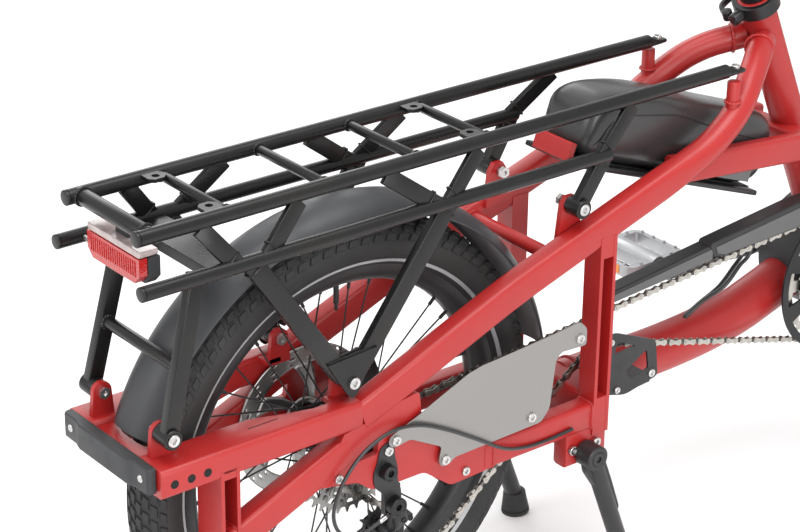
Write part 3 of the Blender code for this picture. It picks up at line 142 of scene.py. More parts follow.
def finish_group():
    """Surface finish shared by most pieces. Colour runs to the worn colour where a broad noise is
    high; roughness runs between its two limits with a finer noise; and a grain gives the normal."""
    tree = bpy.data.node_groups.new("surface_finish", "ShaderNodeTree")
    for name, kind in (("Colour", "NodeSocketColor"), ("Worn", "NodeSocketColor"),
                       ("Patch Scale", "NodeSocketFloat"), ("Rough Low", "NodeSocketFloat"),
                       ("Rough High", "NodeSocketFloat"), ("Grain Scale", "NodeSocketFloat"),
                       ("Grain Depth", "NodeSocketFloat"), ("Stretch", "NodeSocketVector")):
        tree.interface.new_socket(name=name, in_out="INPUT", socket_type=kind)
    for name, kind in (("Colour", "NodeSocketColor"), ("Roughness", "NodeSocketFloat"),
                       ("Normal", "NodeSocketVector")):
        tree.interface.new_socket(name=name, in_out="OUTPUT", socket_type=kind)
    link = tree.links.new
    given = node(tree, "NodeGroupInput").outputs
    result = node(tree, "NodeGroupOutput").inputs
    place = node(tree, "ShaderNodeTexCoord").outputs["Object"]
    stretched = node(tree, "ShaderNodeVectorMath", operation="MULTIPLY")
    link(place, stretched.inputs[0])
    link(given["Stretch"], stretched.inputs[1])
    patches = node(tree, "ShaderNodeTexNoise")
    patches.inputs["Detail"].default_value = 5
    patches.inputs["Roughness"].default_value = 0.6
    link(place, patches.inputs["Vector"])
    link(given["Patch Scale"], patches.inputs["Scale"])
    blend = node(tree, "ShaderNodeMix", data_type="RGBA")
    link(ranged(tree, patches.outputs["Fac"], 0.42, 0.78, 0.0, 1.0), blend.inputs["Factor"])
    link(given["Colour"], blend.inputs[6])
    link(given["Worn"], blend.inputs[7])
    link(blend.outputs[2], result["Colour"])
    fine = noise(tree, stretched.outputs[0], 34, 4)
    link(ranged(tree, fine, 0.3, 0.7, given["Rough Low"], given["Rough High"]), result["Roughness"])
    grain = node(tree, "ShaderNodeTexNoise")
    grain.inputs["Detail"].default_value = 2
    link(stretched.outputs[0], grain.inputs["Vector"])
    link(given["Grain Scale"], grain.inputs["Scale"])
    bump = node(tree, "ShaderNodeBump")
    link(grain.outputs["Fac"], bump.inputs["Height"])
    link(given["Grain Depth"], bump.inputs["Distance"])
    link(bump.outputs["Normal"], result["Normal"])
    return tree


surface_finish = finish_group()


def finished(name, colour, worn, rough, grain, patch=9.0, metallic=0.0, coat=0.0, stretch=(1, 1, 1)):
    """A material in the shared finish. rough is (low, high) and grain is (scale, depth)."""
    made, shader = matter(name, sum(rough) / 2, metallic, coat)
    tree = made.node_tree
    group = node(tree, "ShaderNodeGroup", node_tree=surface_finish)
    for socket, value in (("Colour", (*colour, 1)), ("Worn", (*worn, 1)), ("Patch Scale", patch),
                          ("Rough Low", rough[0]), ("Rough High", rough[1]),
                          ("Grain Scale", grain[0]), ("Grain Depth", grain[1]), ("Stretch", stretch)):
        group.inputs[socket].default_value = value
    tree.links.new(group.outputs["Colour"], shader.inputs["Base Color"])
    tree.links.new(group.outputs["Roughness"], shader.inputs["Roughness"])
    tree.links.new(group.outputs["Normal"], shader.inputs["Normal"])
    return made


def make(name, body, parts, material, replaces=(), bevel=0.0, angle=38):
    """One piece from (points, faces) parts: shifted to the model's frame, normals outwards,
    smooth except over the given angle, and with its edges rounded by bevel metres."""
    points = np.vstack([part[0] for part in parts]) + (REAR_X, 0, 0)
    faces = []
    start = 0
    for part in parts:
        faces += [[index + start for index in face] for face in part[1]]
        start += len(part[0])
    mesh = bpy.data.meshes.new(name)
    mesh.from_pydata(points.tolist(), [], faces)
    shape = bmesh.new()
    shape.from_mesh(mesh)
    bmesh.ops.recalc_face_normals(shape, faces=shape.faces)
    shape.to_mesh(mesh)
    shape.free()
    mesh.polygons.foreach_set("use_smooth", np.ones(len(mesh.polygons), dtype=bool))
    mesh.set_sharp_from_angle(angle=math.radians(angle))
    mesh.materials.append(material)
    made = bpy.data.objects.new(name, mesh)
    scene.collection.objects.link(made)
    if bevel:
        rounding = made.modifiers.new("rounding", "BEVEL")
        rounding.width = bevel
        rounding.segments = 2
        rounding.limit_method = "ANGLE"
        rounding.angle_limit = math.radians(40)
        rounding.harden_normals = True
    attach(made, body)
    if replaces:
        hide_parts(*replaces)
    return made


def quads(rows, cols, round_rows=False):
    """Faces between neighbours of a grid of points stored row by row; each row closes on itself."""
    row, col = np.meshgrid(np.arange(rows if round_rows else rows - 1), np.arange(cols), indexing="ij")
    row_next, col_next = (row + 1) % rows, (col + 1) % cols
    corners = (row * cols + col, row * cols + col_next, row_next * cols + col_next, row_next * cols + col)
    return np.stack(corners, -1).reshape(-1, 4).tolist()


def unit(vectors):
    """Each vector divided by its own length."""
    return vectors / np.linalg.norm(vectors, axis=-1, keepdims=True)


def basis(path, closed=False):
    """Tangent, side and top of a path, from the world axis that the path leans on least."""
    if closed:
        tangent = unit(np.roll(path, -1, 0) - np.roll(path, 1, 0))
    else:
        tangent = unit(np.gradient(path, axis=0))
    reference = np.eye(3)[np.abs(tangent).max(0).argmin()]
    side = unit(np.cross(tangent, reference))
    return tangent, side, np.cross(side, tangent)


def tube(points, radius, sides=24, soft=0.0012, closed=False):
    """Round tube: a circle carried along a path, its ends eased by a quarter circle."""
    path = np.asarray(points, float)
    radii = np.broadcast_to(np.asarray(radius, float), len(path)).copy()
    if not closed:
        first, last = unit(path[1] - path[0]), unit(path[-1] - path[-2])
        ease = np.radians([0, 30, 60, 90])
        path = np.vstack([path[0] + first * (soft * (1 - np.sin(ease)))[:, None], path[1:-1],
                          path[-1] - last * (soft * (1 - np.sin(ease)))[::-1, None]])[
                              :len(path) + 6]
        path[:4] = path[:4][::-1]
        path[-4:] = path[-4:][::-1]
        drop = soft * (1 - np.cos(ease))
        start_radii = (radii[0] - drop)[::-1]
        end_radii = radii[-1] - drop
        radii = np.concatenate([start_radii, radii[1:-1], end_radii])
    _, side, top = basis(path, closed)
    around = np.linspace(0, math.tau, sides, endpoint=False)
    ring = np.cos(around)[None, :, None] * side[:, None] + np.sin(around)[None, :, None] * top[:, None]
    grid = path[:, None] + radii[:, None, None] * ring
    faces = quads(len(path), sides, round_rows=closed)
    if not closed:
        last_row = (len(path) - 1) * sides
        faces += [list(range(sides)), list(range(last_row, last_row + sides))]
    return grid.reshape(-1, 3), faces


def bar(points, width, height, corner=0.005, soft=0.0012, lean=(0, 1, 0)):
    """Rectangular tube: a rounded rectangle carried along a path; width is across, along lean."""
    path = np.asarray(points, float)
    widths = np.broadcast_to(np.asarray(width, float), len(path)) / 2
    heights = np.broadcast_to(np.asarray(height, float), len(path)) / 2
    corners = np.broadcast_to(np.asarray(corner, float), len(path))
    tangent = unit(np.gradient(path, axis=0))
    across = unit(np.asarray(lean, float) - tangent * (tangent @ np.asarray(lean, float))[:, None])
    up = np.cross(tangent, across)
    inset = np.concatenate([[soft, 0.3 * soft], np.zeros(len(path)), [0.3 * soft, soft]])
    step = np.concatenate([[0, 0.3 * soft], np.zeros(len(path)), [-0.3 * soft, 0]])
    index = np.concatenate([[0, 0], np.arange(len(path)), [len(path) - 1] * 2])
    place = path[index] + tangent[index] * step[:, None]
    place[2] = path[0] + tangent[0] * soft
    place[-3] = path[-1] - tangent[-1] * soft
    around = np.linspace(0, math.tau, 20, endpoint=False) + math.tau / 40
    sx, sz = np.sign(np.cos(around)), np.sign(np.sin(around))
    spread = (np.round((around % (math.tau / 4)) / (math.tau / 20) - 0.5) / 4) * math.tau / 4
    quarter = np.floor(around / (math.tau / 4)) * math.tau / 4 + spread
    arc = (corners[index] - inset)[:, None]
    half_w = (widths - corners)[index][:, None] * sx + arc * np.cos(quarter)
    half_h = (heights - corners)[index][:, None] * sz + arc * np.sin(quarter)
    grid = (place[:, None] + half_w[..., None] * across[index][:, None]
            + half_h[..., None] * up[index][:, None])
    faces = quads(len(place), 20)
    last_row = (len(place) - 1) * 20
    return grid.reshape(-1, 3), faces + [list(range(20)), list(range(last_row, last_row + 20))]


def lathe(profile, centre, axis=(0, 1, 0), steps=48, closed=False):
    """Turned shape: (radius, height) pairs spun about an axis through centre."""
    profile = np.asarray(profile, float)
    axis = unit(np.asarray(axis, float))
    side = unit(np.cross(axis, np.eye(3)[np.abs(axis).argmin()]))
    top = np.cross(axis, side)
    around = np.linspace(0, math.tau, steps, endpoint=False)
    ring = np.cos(around)[:, None] * side + np.sin(around)[:, None] * top
    grid = (np.asarray(centre, float) + profile[:, 1, None, None] * axis
            + profile[:, 0, None, None] * ring[None])
    faces = quads(len(profile), steps, round_rows=closed)
    if not closed:
        last_row = (len(profile) - 1) * steps
        faces += [list(range(steps)), list(range(last_row, last_row + steps))]
    return grid.reshape(-1, 3), faces


def plate(outline, y_range, holes=()):
    """Flat plate: an outline in x and z, with holes, drawn out between two y values."""
    rings = [np.asarray(ring, float) for ring in (outline, *holes)]
    flat = np.vstack(rings)
    count = len(flat)
    low = np.insert(flat, 1, y_range[0], axis=1)
    high = np.insert(flat, 1, y_range[1], axis=1)
    faces = []
    start = 0
    for ring in rings:
        size = len(ring)
        here = np.arange(size) + start
        after = np.roll(here, -1)
        faces += np.stack([here, after, after + count, here + count], -1).tolist()
        start += size
    if holes:
        cap = tessellate_polygon([[Vector((*point, 0)) for point in ring] for ring in rings])
    else:
        cap = [list(range(count))]
    faces += [list(face) for face in cap] + [[index + count for index in face] for face in cap]
    return np.vstack([low, high]), faces


def circle(centre, radius, sides=16):
    """Outline of a round hole: the centre plus the radius times cosine and sine."""
    around = np.linspace(0, math.tau, sides, endpoint=False)
    return np.stack([centre[0] + radius * np.cos(around), centre[1] + radius * np.sin(around)], -1)


def block(x_range, y_range, z_range):
    """A box between three ranges, ready for rounded edges."""
    return plate([(x_range[0], z_range[0]), (x_range[1], z_range[0]), (x_range[1], z_range[1]),
                  (x_range[0], z_range[1])], y_range)


def flipped(parts):
    """The same parts on the other side of the bicycle."""
    return [(points * (1, -1, 1), faces) for points, faces in parts]


def bolt(centre, axis, radius=0.0065, height=0.005):
    """Cap screw: a turned head with an eased edge and a six-sided socket."""
    steps = 24
    around = np.linspace(0, math.tau, steps, endpoint=False)
    hexagon = np.cos(math.pi / 6) / np.cos((around + math.pi / 6) % (math.pi / 3) - math.pi / 6)
    profile = [(radius, 0), (radius, height - 0.0008), (radius - 0.0008, height),
               (radius * 0.58, height), (radius * 0.50, height - 0.0004), (radius * 0.50, height * 0.4)]
    points, faces = lathe(profile, centre, axis, steps)
    rows = points.reshape(len(profile), steps, 3)
    middle = rows.mean(1, keepdims=True)
    rows[-2:] = middle[-2:] + (rows[-2:] - middle[-2:]) * hexagon[None, :, None]
    return rows.reshape(-1, 3), faces


def washer(centre, axis, radius=0.0085, thick=0.0014, hole=0.0035):
    """Flat ring turned round the axis."""
    return lathe([(hole, 0), (radius, 0), (radius, thick), (hole, thick)], centre, axis, 28, closed=True)


def weld(loop, radius=0.0017, ripple=0.18, pitch=0.0028):
    """Weld bead: a thin tube along a closed loop whose radius swells once per pitch."""
    loop = np.asarray(loop, float)
    length = np.linalg.norm(np.roll(loop, -1, 0) - loop, axis=1).sum()
    wave = np.cos(np.arange(len(loop)) * math.tau * round(length / pitch) / len(loop))
    return tube(loop, radius * (1 + ripple * wave), 8, closed=True)


def weld_round(centre, axis, radius, bead=0.0017):
    """Bead round a round tube that meets another piece."""
    centre, axis = np.asarray(centre, float), unit(np.asarray(axis, float))
    side = unit(np.cross(axis, np.eye(3)[np.abs(axis).argmin()]))
    top = np.cross(axis, side)
    around = np.linspace(0, math.tau, 72, endpoint=False)[:, None]
    return weld(centre + radius * (np.cos(around) * side + np.sin(around) * top), bead)


def weld_box(centre, axis, width, height, bead=0.0018):
    """Bead round a rectangular tube: a superellipse, cosine and sine each raised to a low power."""
    axis = unit(np.asarray(axis, float))
    lean = np.array((0.0, 1.0, 0.0))
    across = unit(lean - axis * (lean @ axis))
    up = np.cross(axis, across)
    around = np.linspace(0, math.tau, 120, endpoint=False)
    power = 0.32
    u = width / 2 * np.sign(np.cos(around)) * np.abs(np.cos(around)) ** power
    v = height / 2 * np.sign(np.sin(around)) * np.abs(np.sin(around)) ** power
    return weld(np.asarray(centre, float) + u[:, None] * across + v[:, None] * up, bead)


def rounded(points, radius, steps=6):
    """A path whose inner corners are replaced by curves that start and end radius away."""
    points = [np.asarray(point, float) for point in points]
    route = [points[0]]
    share = np.linspace(0, 1, steps + 1)[:, None]
    for before, corner, after in zip(points, points[1:], points[2:]):
        start = corner + unit(before - corner) * min(radius, 0.48 * np.linalg.norm(before - corner))
        end = corner + unit(after - corner) * min(radius, 0.48 * np.linalg.norm(after - corner))
        route += list((1 - share) ** 2 * start + 2 * share * (1 - share) * corner + share ** 2 * end)
    return np.array(route + [points[-1]])


def smooth(points, steps=8):
    """Catmull-Rom curve through every point."""
    points = np.asarray(points, float)
    padded = np.vstack([2 * points[0] - points[1], points, 2 * points[-1] - points[-2]])
    t = np.linspace(0, 1, steps, endpoint=False)[None, :, None]
    a, b, c, d = (padded[i:len(padded) - 3 + i, None] for i in range(4))
    curve = 0.5 * (2 * b + (c - a) * t + (2 * a - 5 * b + 4 * c - d) * t ** 2
                   + (3 * b - a - 3 * c + d) * t ** 3)
    return np.vstack([curve.reshape(-1, points.shape[1]), points[-1:]])


red_paint = finished("red_paint", (0.375, 0.0125, 0.0115), (0.345, 0.0110, 0.0105), (0.38, 0.50),
                     (900, 0.00006), coat=0.16)
graphite = finished("graphite_coat", (0.021, 0.020, 0.020), (0.027, 0.026, 0.025), (0.24, 0.34),
                    (1500, 0.00005), metallic=0.60)
black_coat = finished("black_coat", (0.012, 0.012, 0.013), (0.02, 0.02, 0.022), (0.36, 0.52), (1300, 0.00006))
moulded = finished("moulded_plastic", (0.020, 0.021, 0.023), (0.029, 0.030, 0.033), (0.44, 0.60),
                   (1100, 0.00012))
steel = finished("bright_steel", (0.62, 0.61, 0.60), (0.46, 0.45, 0.44), (0.20, 0.38), (700, 0.00003),
                 metallic=1.0, patch=40)
alloy = finished("cast_alloy", (0.50, 0.51, 0.52), (0.40, 0.41, 0.42), (0.34, 0.52), (800, 0.00008),
                 metallic=0.9)
rubber = finished("soft_rubber", (0.014, 0.014, 0.014), (0.021, 0.021, 0.021), (0.58, 0.76), (1600, 0.00014))
anodised = finished("dark_anodised", (0.030, 0.030, 0.032), (0.05, 0.05, 0.052), (0.26, 0.40),
                    (1200, 0.00004), metallic=0.8)

CAD_LOOKS = {
    "frame_red": red_paint, "rack_graphite": graphite, "black_plastic": moulded,
    "black_metal": anodised, "brushed_steel": steel, "bare_alloy": alloy, "rubber": rubber,
    "tyre_rubber": rubber, "red_lens": red_paint}
for subpart in frame["record"]["subparts"]:
    slots = frame["nodes"][subpart["node"]].data.materials
    slots.clear()
    slots.append(CAD_LOOKS[subpart["material_slot"]])

# ---------- floor
# A wide white board, stood on the ground plane.
floor_paint = finished("floor_paint", (0.86, 0.86, 0.86), (0.84, 0.84, 0.84), (0.75, 0.85), (60, 0.0001))
reach = 9.0
floor_mesh = bpy.data.meshes.new("floor")
floor_mesh.from_pydata([(-reach, -reach, 0), (reach, -reach, 0), (reach, reach, 0), (-reach, reach, 0)],
                       [], [(0, 1, 2, 3)])
floor_mesh.materials.append(floor_paint)
floor = bpy.data.objects.new("floor", floor_mesh)
scene.collection.objects.link(floor)

# ---------- rear rack
# Powder-coated steel, welded: two deck rails with rungs and pierced lugs, and on each side a lower
# rail with flat legs, a V with a gusset at its foot and short flat braces up to the deck.
RAIL_Y, RAIL_Z, RAIL_R = 0.064, 0.597, 0.0082
SHELF_Y, SHELF_Z, SHELF_R = 0.078, 0.546, 0.0078
RUNGS = (-0.177, -0.058, 0.060, 0.154)
RACK_FEET = {"front": (0.273, 0.493), "middle": (-0.037, 0.375), "rear": (-0.260, 0.380)}


def capped(start, end, radius):
    """Rail with a plug in its rear end: a fine groove marks where the plug's rim begins."""
    start, end = np.array(start), np.array(end)
    run = unit(end - start)
    groove = [0.0, 0.0024, 0.0027, 0.0031, 0.0034]
    path = [start + run * reach for reach in groove] + [(start + end) / 2, end]
    return tube(path, [radius, radius, radius - 0.0006, radius - 0.0006, radius, radius, radius], 32, 0.0009)


deck = [capped((-0.286, side * RAIL_Y, RAIL_Z), (0.505, side * RAIL_Y, RAIL_Z), RAIL_R) for side in (-1, 1)]
for side in (-1, 1):
    deck.append(bar([(0.498, side * RAIL_Y, RAIL_Z), (0.508, side * RAIL_Y, RAIL_Z),
                     (0.516, side * RAIL_Y, RAIL_Z - 0.0012), (0.528, side * RAIL_Y, RAIL_Z - 0.0012)],
                    (0.0158, 0.0168, 0.0180, 0.0160), (0.0150, 0.0110, 0.0052, 0.0050),
                    (0.0070, 0.0050, 0.0022, 0.0022)))
for x, radius in [(x, 0.0054) for x in RUNGS] + [(-0.269, 0.0088)]:
    deck.append(tube([(x, -RAIL_Y, RAIL_Z), (x, RAIL_Y, RAIL_Z)], radius, 28))
    deck += [weld_round((x, side * (RAIL_Y - RAIL_R + 0.0006), RAIL_Z), (0, 1, 0), radius + 0.0006, 0.0014)
             for side in (-1, 1)]
for x, lean in ((-0.190, 1), (0.140, 1)):
    for side in (-1, 1):
        rim = [(x - 0.011, side * 0.0600), (x - 0.011, side * 0.0440), (x - 0.006, side * 0.0390),
               (x + 0.005, side * 0.0390), (x + 0.011, side * 0.0450), (x + 0.011, side * 0.0600)]
        points, faces = plate(rim, (0.5990, 0.6030), [circle((x, side * 0.0475), 0.0042, 24)])
        deck.append((points[:, [0, 2, 1]], faces))
make("rack_deck_rails", "frame", deck, graphite, ["rack_deck"])


def flat_tube(start, end, width, depth):
    """Straight rectangular tube from start to end."""
    return bar([start, (np.array(start) + end) / 2, end], depth, width, 0.0016)


def rack_side(side):
    """Every tube of one side of the rack with the beads where it meets its rail."""
    y, leg_y, under = side * SHELF_Y, side * 0.0720, RAIL_Z - RAIL_R * 0.75
    front, middle, rear = (RACK_FEET[key] for key in ("front", "middle", "rear"))
    legs = [((-0.219, side * 0.0660, SHELF_Z), (rear[0], leg_y, rear[1]), 0.0180, 0.0120),
            ((-0.163, y, SHELF_Z), (middle[0] - 0.010, leg_y, middle[1] + 0.008), 0.0215, 0.0100),
            ((0.088, y, SHELF_Z), (middle[0] + 0.010, leg_y, middle[1] + 0.008), 0.0215, 0.0100),
            ((0.306, y, SHELF_Z), (front[0], side * 0.0760, front[1]), 0.0190, 0.0110)]
    braces = [(0.088, 0.137), (0.304, 0.357), (-0.143, -0.095), (0.074, 0.013), (-0.178, -0.214)]
    legs += [((low, y, SHELF_Z), (high, side * 0.0660, under), 0.0190, 0.0070) for low, high in braces]
    parts = [capped((-0.291, y, SHELF_Z), (0.314, y, SHELF_Z), SHELF_R)]
    for start, end, width, depth in legs:
        run = unit(np.array(end) - start)
        rise = SHELF_R / max(abs(run[2]), 0.3)
        parts += [flat_tube(start, end, width, depth),
                  weld_box(np.array(start) + run * rise, run, depth, width + 0.0012, bead=0.0013)]
    gusset = rounded([(middle[0] - 0.033, 0, middle[1] + 0.029), (middle[0], 0, middle[1] - 0.024),
                      (middle[0] + 0.031, 0, middle[1] + 0.033)], 0.016, 8)[:, [0, 2]]
    parts += [plate(gusset, sorted((side * 0.0764, side * 0.0800))),
              weld([(middle[0] + dx, side * (0.0745 + dy), middle[1] + 0.0315 + 0.06 * dx) for dx, dy in
                    [(-0.030 + 0.0025 * k, 0.0026) for k in range(24)]
                    + [(0.0275 - 0.0025 * k, -0.0026) for k in range(24)]], 0.0016)]
    for spot, inner, outer in ((front, 0.0652, 0.0868), (middle, 0.0580, 0.0764), (rear, 0.0580, 0.0810)):
        profile = [(0.0052, inner), (0.0105, inner), (0.0108, inner + 0.001), (0.0108, outer - 0.001),
                   (0.0100, outer), (0.0075, outer), (0.0070, outer - 0.0022), (0.0052, outer - 0.0022)]
        parts.append(lathe(profile, (spot[0], 0, spot[1]), (0, side, 0), 40, closed=True))
    return parts


for label, side in (("right", -1), ("left", 1)):
    make("rack_side_" + label + "_tubes", "frame", rack_side(side), graphite,
         ["rack_side_" + label])
cross_plate = [block((-0.207, -0.166), (-0.0705, 0.0705), (0.5430, 0.5470)),
               block((-0.207, -0.2035), (-0.0705, 0.0705), (0.5350, 0.5450))]
make("rack_plate", "frame", cross_plate, graphite, ["rack_cross_plate"], bevel=0.0008)
make("rack_brace", "frame",
     [tube([(-0.2430, -0.0630, 0.450), (-0.2430, 0.0630, 0.450)], 0.0068, 28),
      weld_round((-0.2430, -0.0630, 0.450), (0, 1, 0), 0.0070),
      weld_round((-0.2430, 0.0630, 0.450), (0, 1, 0), 0.0070)],
     graphite, ["rack_leg_brace"])
rack_bolts = []
for side in (-1, 1):
    for spot, outer in ((RACK_FEET["front"], 0.0846), (RACK_FEET["middle"], 0.0798),
                        (RACK_FEET["rear"], 0.0788)):
        rack_bolts.append(bolt((spot[0], side * outer, spot[1]), (0, side, 0), 0.0068, 0.0040))
        rack_bolts.append(tube([(spot[0], side * 0.0480, spot[1]), (spot[0], side * 0.0580, spot[1])], 0.0036,
                               16))
        rack_bolts.append(lathe([(0.0030, 0), (0.0068, 0), (0.0068, 0.0052), (0.0030, 0.0052)],
                                (spot[0], side * 0.0512, spot[1]), (0, -side, 0), 6, closed=True))
    rack_bolts.append(bolt((0.519, side * RAIL_Y, RAIL_Z + 0.0010), (0, 0, 1), 0.0052, 0.0040))
rack_bolts += [tube([(-0.262, 0.0700, 0.5475), (-0.262, 0.0590, 0.5475)], 0.0024, 16),
               lathe([(0.0024, 0), (0.0040, 0.0006), (0.0044, 0.0024), (0.0036, 0.0042), (0.0016, 0.0050)],
                     (-0.262, 0.0600, 0.5475), (0, -1, 0), 20)]
make("rack_bolts", "frame", rack_bolts, steel)

# ---------- tail
# A moulded pad with two screws on the tail bridge, and the red ribbed reflector lamp with its
# clear upper strip on a black housing.
pad_half = [(-0.0800, 0.0000), (-0.0800, 0.0082), (-0.0770, 0.0108), (-0.0560, 0.0112), (-0.0500, 0.0132),
            (-0.0440, 0.0146)]
pad_outline = np.array(pad_half + [(-y, depth) for y, depth in pad_half[::-1]])
pad_y, pad_depth = pad_outline[:, 0], pad_outline[:, 1]
points, faces = plate(np.stack([-0.2804 - pad_depth, pad_y], -1), (0.3270, 0.3560))
make("tail_pad", "frame", [(points[:, [0, 2, 1]], faces)], moulded, ["bumper_pad"],
     bevel=0.0022)
make("tail_pad_screws", "frame",
     [bolt((-0.2910, side * 0.066, 0.3415), (-1, 0, 0), 0.0042, 0.0012) for side in (-1, 1)], steel)

lamp_red, lamp_shader = matter("lamp_red", 0.16, coat=0.6)
lamp_tree = lamp_red.node_tree
lamp_place = node(lamp_tree, "ShaderNodeTexCoord").outputs["Object"]
lamp_cells = node(lamp_tree, "ShaderNodeTexVoronoi")
lamp_cells.inputs["Scale"].default_value = 420
lamp_tree.links.new(lamp_place, lamp_cells.inputs["Vector"])
lamp_mix = node(lamp_tree, "ShaderNodeMix", data_type="RGBA")
lamp_mix.inputs[6].default_value = (0.30, 0.003, 0.003, 1)
lamp_mix.inputs[7].default_value = (0.55, 0.010, 0.008, 1)
lamp_tree.links.new(lamp_cells.outputs["Distance"], lamp_mix.inputs["Factor"])
lamp_tree.links.new(lamp_mix.outputs[2], lamp_shader.inputs["Base Color"])
lamp_bump = node(lamp_tree, "ShaderNodeBump")
lamp_bump.inputs["Distance"].default_value = 0.0004
lamp_tree.links.new(lamp_cells.outputs["Distance"], lamp_bump.inputs["Height"])
lamp_tree.links.new(lamp_bump.outputs["Normal"], lamp_shader.inputs["Normal"])
clear_strip = finished("clear_strip", (0.34, 0.27, 0.26), (0.50, 0.42, 0.40), (0.08, 0.16), (300, 0.0001),
                       patch=90, coat=0.8)


def lamp_face(half, corner, z_range, x_range):
    """Flat-topped panel whose lower corners are cut at a slant."""
    outline = [(-half, z_range[1]), (half, z_range[1]), (half, z_range[0] + corner),
               (half - corner, z_range[0]), (-half + corner, z_range[0]), (-half, z_range[0] + corner)]
    made, sides = plate(outline, x_range)
    return made[:, [1, 0, 2]], sides


ribs = [block((-0.2728, -0.2715), (y - 0.0004, y + 0.0004), (0.546, 0.563))
        for y in np.linspace(-0.040, 0.040, 21)]
make("tail_lamp_red", "frame",
     [lamp_face(0.0475, 0.009, (0.5385, 0.5660), (-0.2720, -0.2624)), *ribs], lamp_red, ["tail_light_lens"],
     bevel=0.0009)
make("tail_lamp_clear", "frame",
     [lamp_face(0.0480, 0.002, (0.5664, 0.5740), (-0.2712, -0.2500))], clear_strip, bevel=0.0010)
make("tail_lamp_housing", "frame",
     [lamp_face(0.0490, 0.009, (0.5360, 0.5662), (-0.2620, -0.2480)),
      block((-0.2610, -0.2560), (-0.012, 0.012), (0.5700, 0.5880)),
      block((-0.2500, -0.2440), (0.0300, 0.0400), (0.5420, 0.5600)),
      block((-0.2500, -0.2440), (-0.0400, -0.0300), (0.5420, 0.5600))],
     moulded, ["tail_light_housing"], bevel=0.0012)

# ---------- side trusses
# Painted steel: on each side a tail rail, an upright channel, a sloping tube and a chainstay
# round the laser-cut dropout, with the strut that carries the stay. All joints are welded.
TRUSS_MIDDLE, TRUSS_WIDTH = -0.0750, 0.0248


def channel(x_range, z_range, pocket, wall, inner):
    """Upright box section with a pocket open to the outside: its web, two walls and two ends."""
    outer = (-0.0883, inner)
    low, high = x_range
    section = [(low, outer[0]), (low + wall, outer[0]), (low + wall, inner - 0.005),
               (high - wall, inner - 0.005), (high - wall, outer[0]), (high, outer[0]), (high, inner),
               (low, inner)]
    points, faces = plate(section, (z_range[0] + 0.0003, z_range[1] - 0.0003))
    ends = (low + 0.0003, high - 0.0003)
    return [(points[:, [0, 2, 1]], faces),
            block(ends, (outer[0] + 0.0003, inner - 0.0003), (z_range[0], pocket[0])),
            block(ends, (outer[0] + 0.0003, inner - 0.0003), (pocket[1], z_range[1]))]


def lug(spot, base_z, y_range, width=0.014, radius=0.011):
    """Upright tab with a round head."""
    around = np.radians(np.linspace(0, 180, 13))
    head = np.stack([spot[0] + radius * np.cos(around), spot[1] + radius * np.sin(around)], -1)
    return plate(np.vstack([[(spot[0] - width, base_z), (spot[0] + width, base_z)], head]), y_range)


def truss_tubes():
    """Tubes and weld beads of one side truss."""
    rail = [(x, y, 0.3375) for x, y in ((-0.280, -0.065), (-0.190, -0.065), (-0.150, -0.0653),
                                        (-0.110, -0.0715), (-0.080, -0.0753), (-0.030, -0.0753))]
    parts = [bar(rail, (0.046, 0.046, 0.0455, 0.0325, 0.0246, 0.0246), 0.032, 0.0055),
             bar([(-0.192, TRUSS_MIDDLE, 0.2397), (-0.045, TRUSS_MIDDLE, 0.3014)], TRUSS_WIDTH, 0.034),
             bar([(0.140, TRUSS_MIDDLE, 0.2305), (0.304, TRUSS_MIDDLE, 0.2305)], TRUSS_WIDTH, 0.033),
             bar([(0.2625, -0.0755, 0.197), (0.3225, -0.0755, 0.197)], 0.0215, 0.046),
             lathe([(0.0063, 0.0742), (0.0160, 0.0742), (0.0160, 0.0795), (0.0063, 0.0795)],
                   (0, 0, 0.262), (0, -1, 0), 32, closed=True),
             weld_box((-0.1845, TRUSS_MIDDLE, 0.2428), (0.147, 0, 0.0617), TRUSS_WIDTH, 0.034),
             weld_box((0.2990, TRUSS_MIDDLE, 0.2305), (1, 0, 0), TRUSS_WIDTH, 0.033),
             weld_box((0.1520, TRUSS_MIDDLE, 0.2305), (1, 0, 0), TRUSS_WIDTH, 0.033)]
    return parts


def truss_plates():
    """The dropout with its window, both channels and the lugs that hold the rack."""
    outline = [(-0.084, 0.268), (-0.036, 0.259), (-0.018, 0.244), (0.018, 0.241), (0.054, 0.241),
               (0.092, 0.212), (0.158, 0.2145), (0.158, 0.2465), (0.082, 0.262), (0.052, 0.292),
               (0.046, 0.342), (0.008, 0.336), (-0.018, 0.328), (-0.054, 0.322)]
    flat = rounded([(x, 0, z) for x, z in outline], 0.006, 3)[:, [0, 2]]
    window = rounded([(-0.026, 0, 0.2930), (-0.008, 0, 0.3010), (-0.010, 0, 0.2845), (-0.045, 0, 0.2835),
                      (-0.026, 0, 0.2930)], 0.003, 3)[1:, [0, 2]]
    holes = [window, circle((-0.062, 0.2725), 0.0035), circle((0.112, 0.2235), 0.0035),
             circle((0, 0.262), 0.0063, 24)]
    parts = [plate(flat, (-0.0865, -0.0785), holes)]
    parts += channel((-0.2100, -0.1870), (0.2120, 0.3300), (0.2200, 0.3195), 0.004, -0.0440)
    parts += channel((0.3000, 0.3240), (0.2060, 0.4520), (0.2520, 0.4260), 0.0045, -0.0620)
    for name in ("middle", "rear"):
        parts.append(lug(RACK_FEET[name], 0.345, (-0.0575, -0.0515)))
    parts.append(block((-0.056, -0.036), (-0.0700, -0.0515), (0.3474, 0.3526)))
    return parts


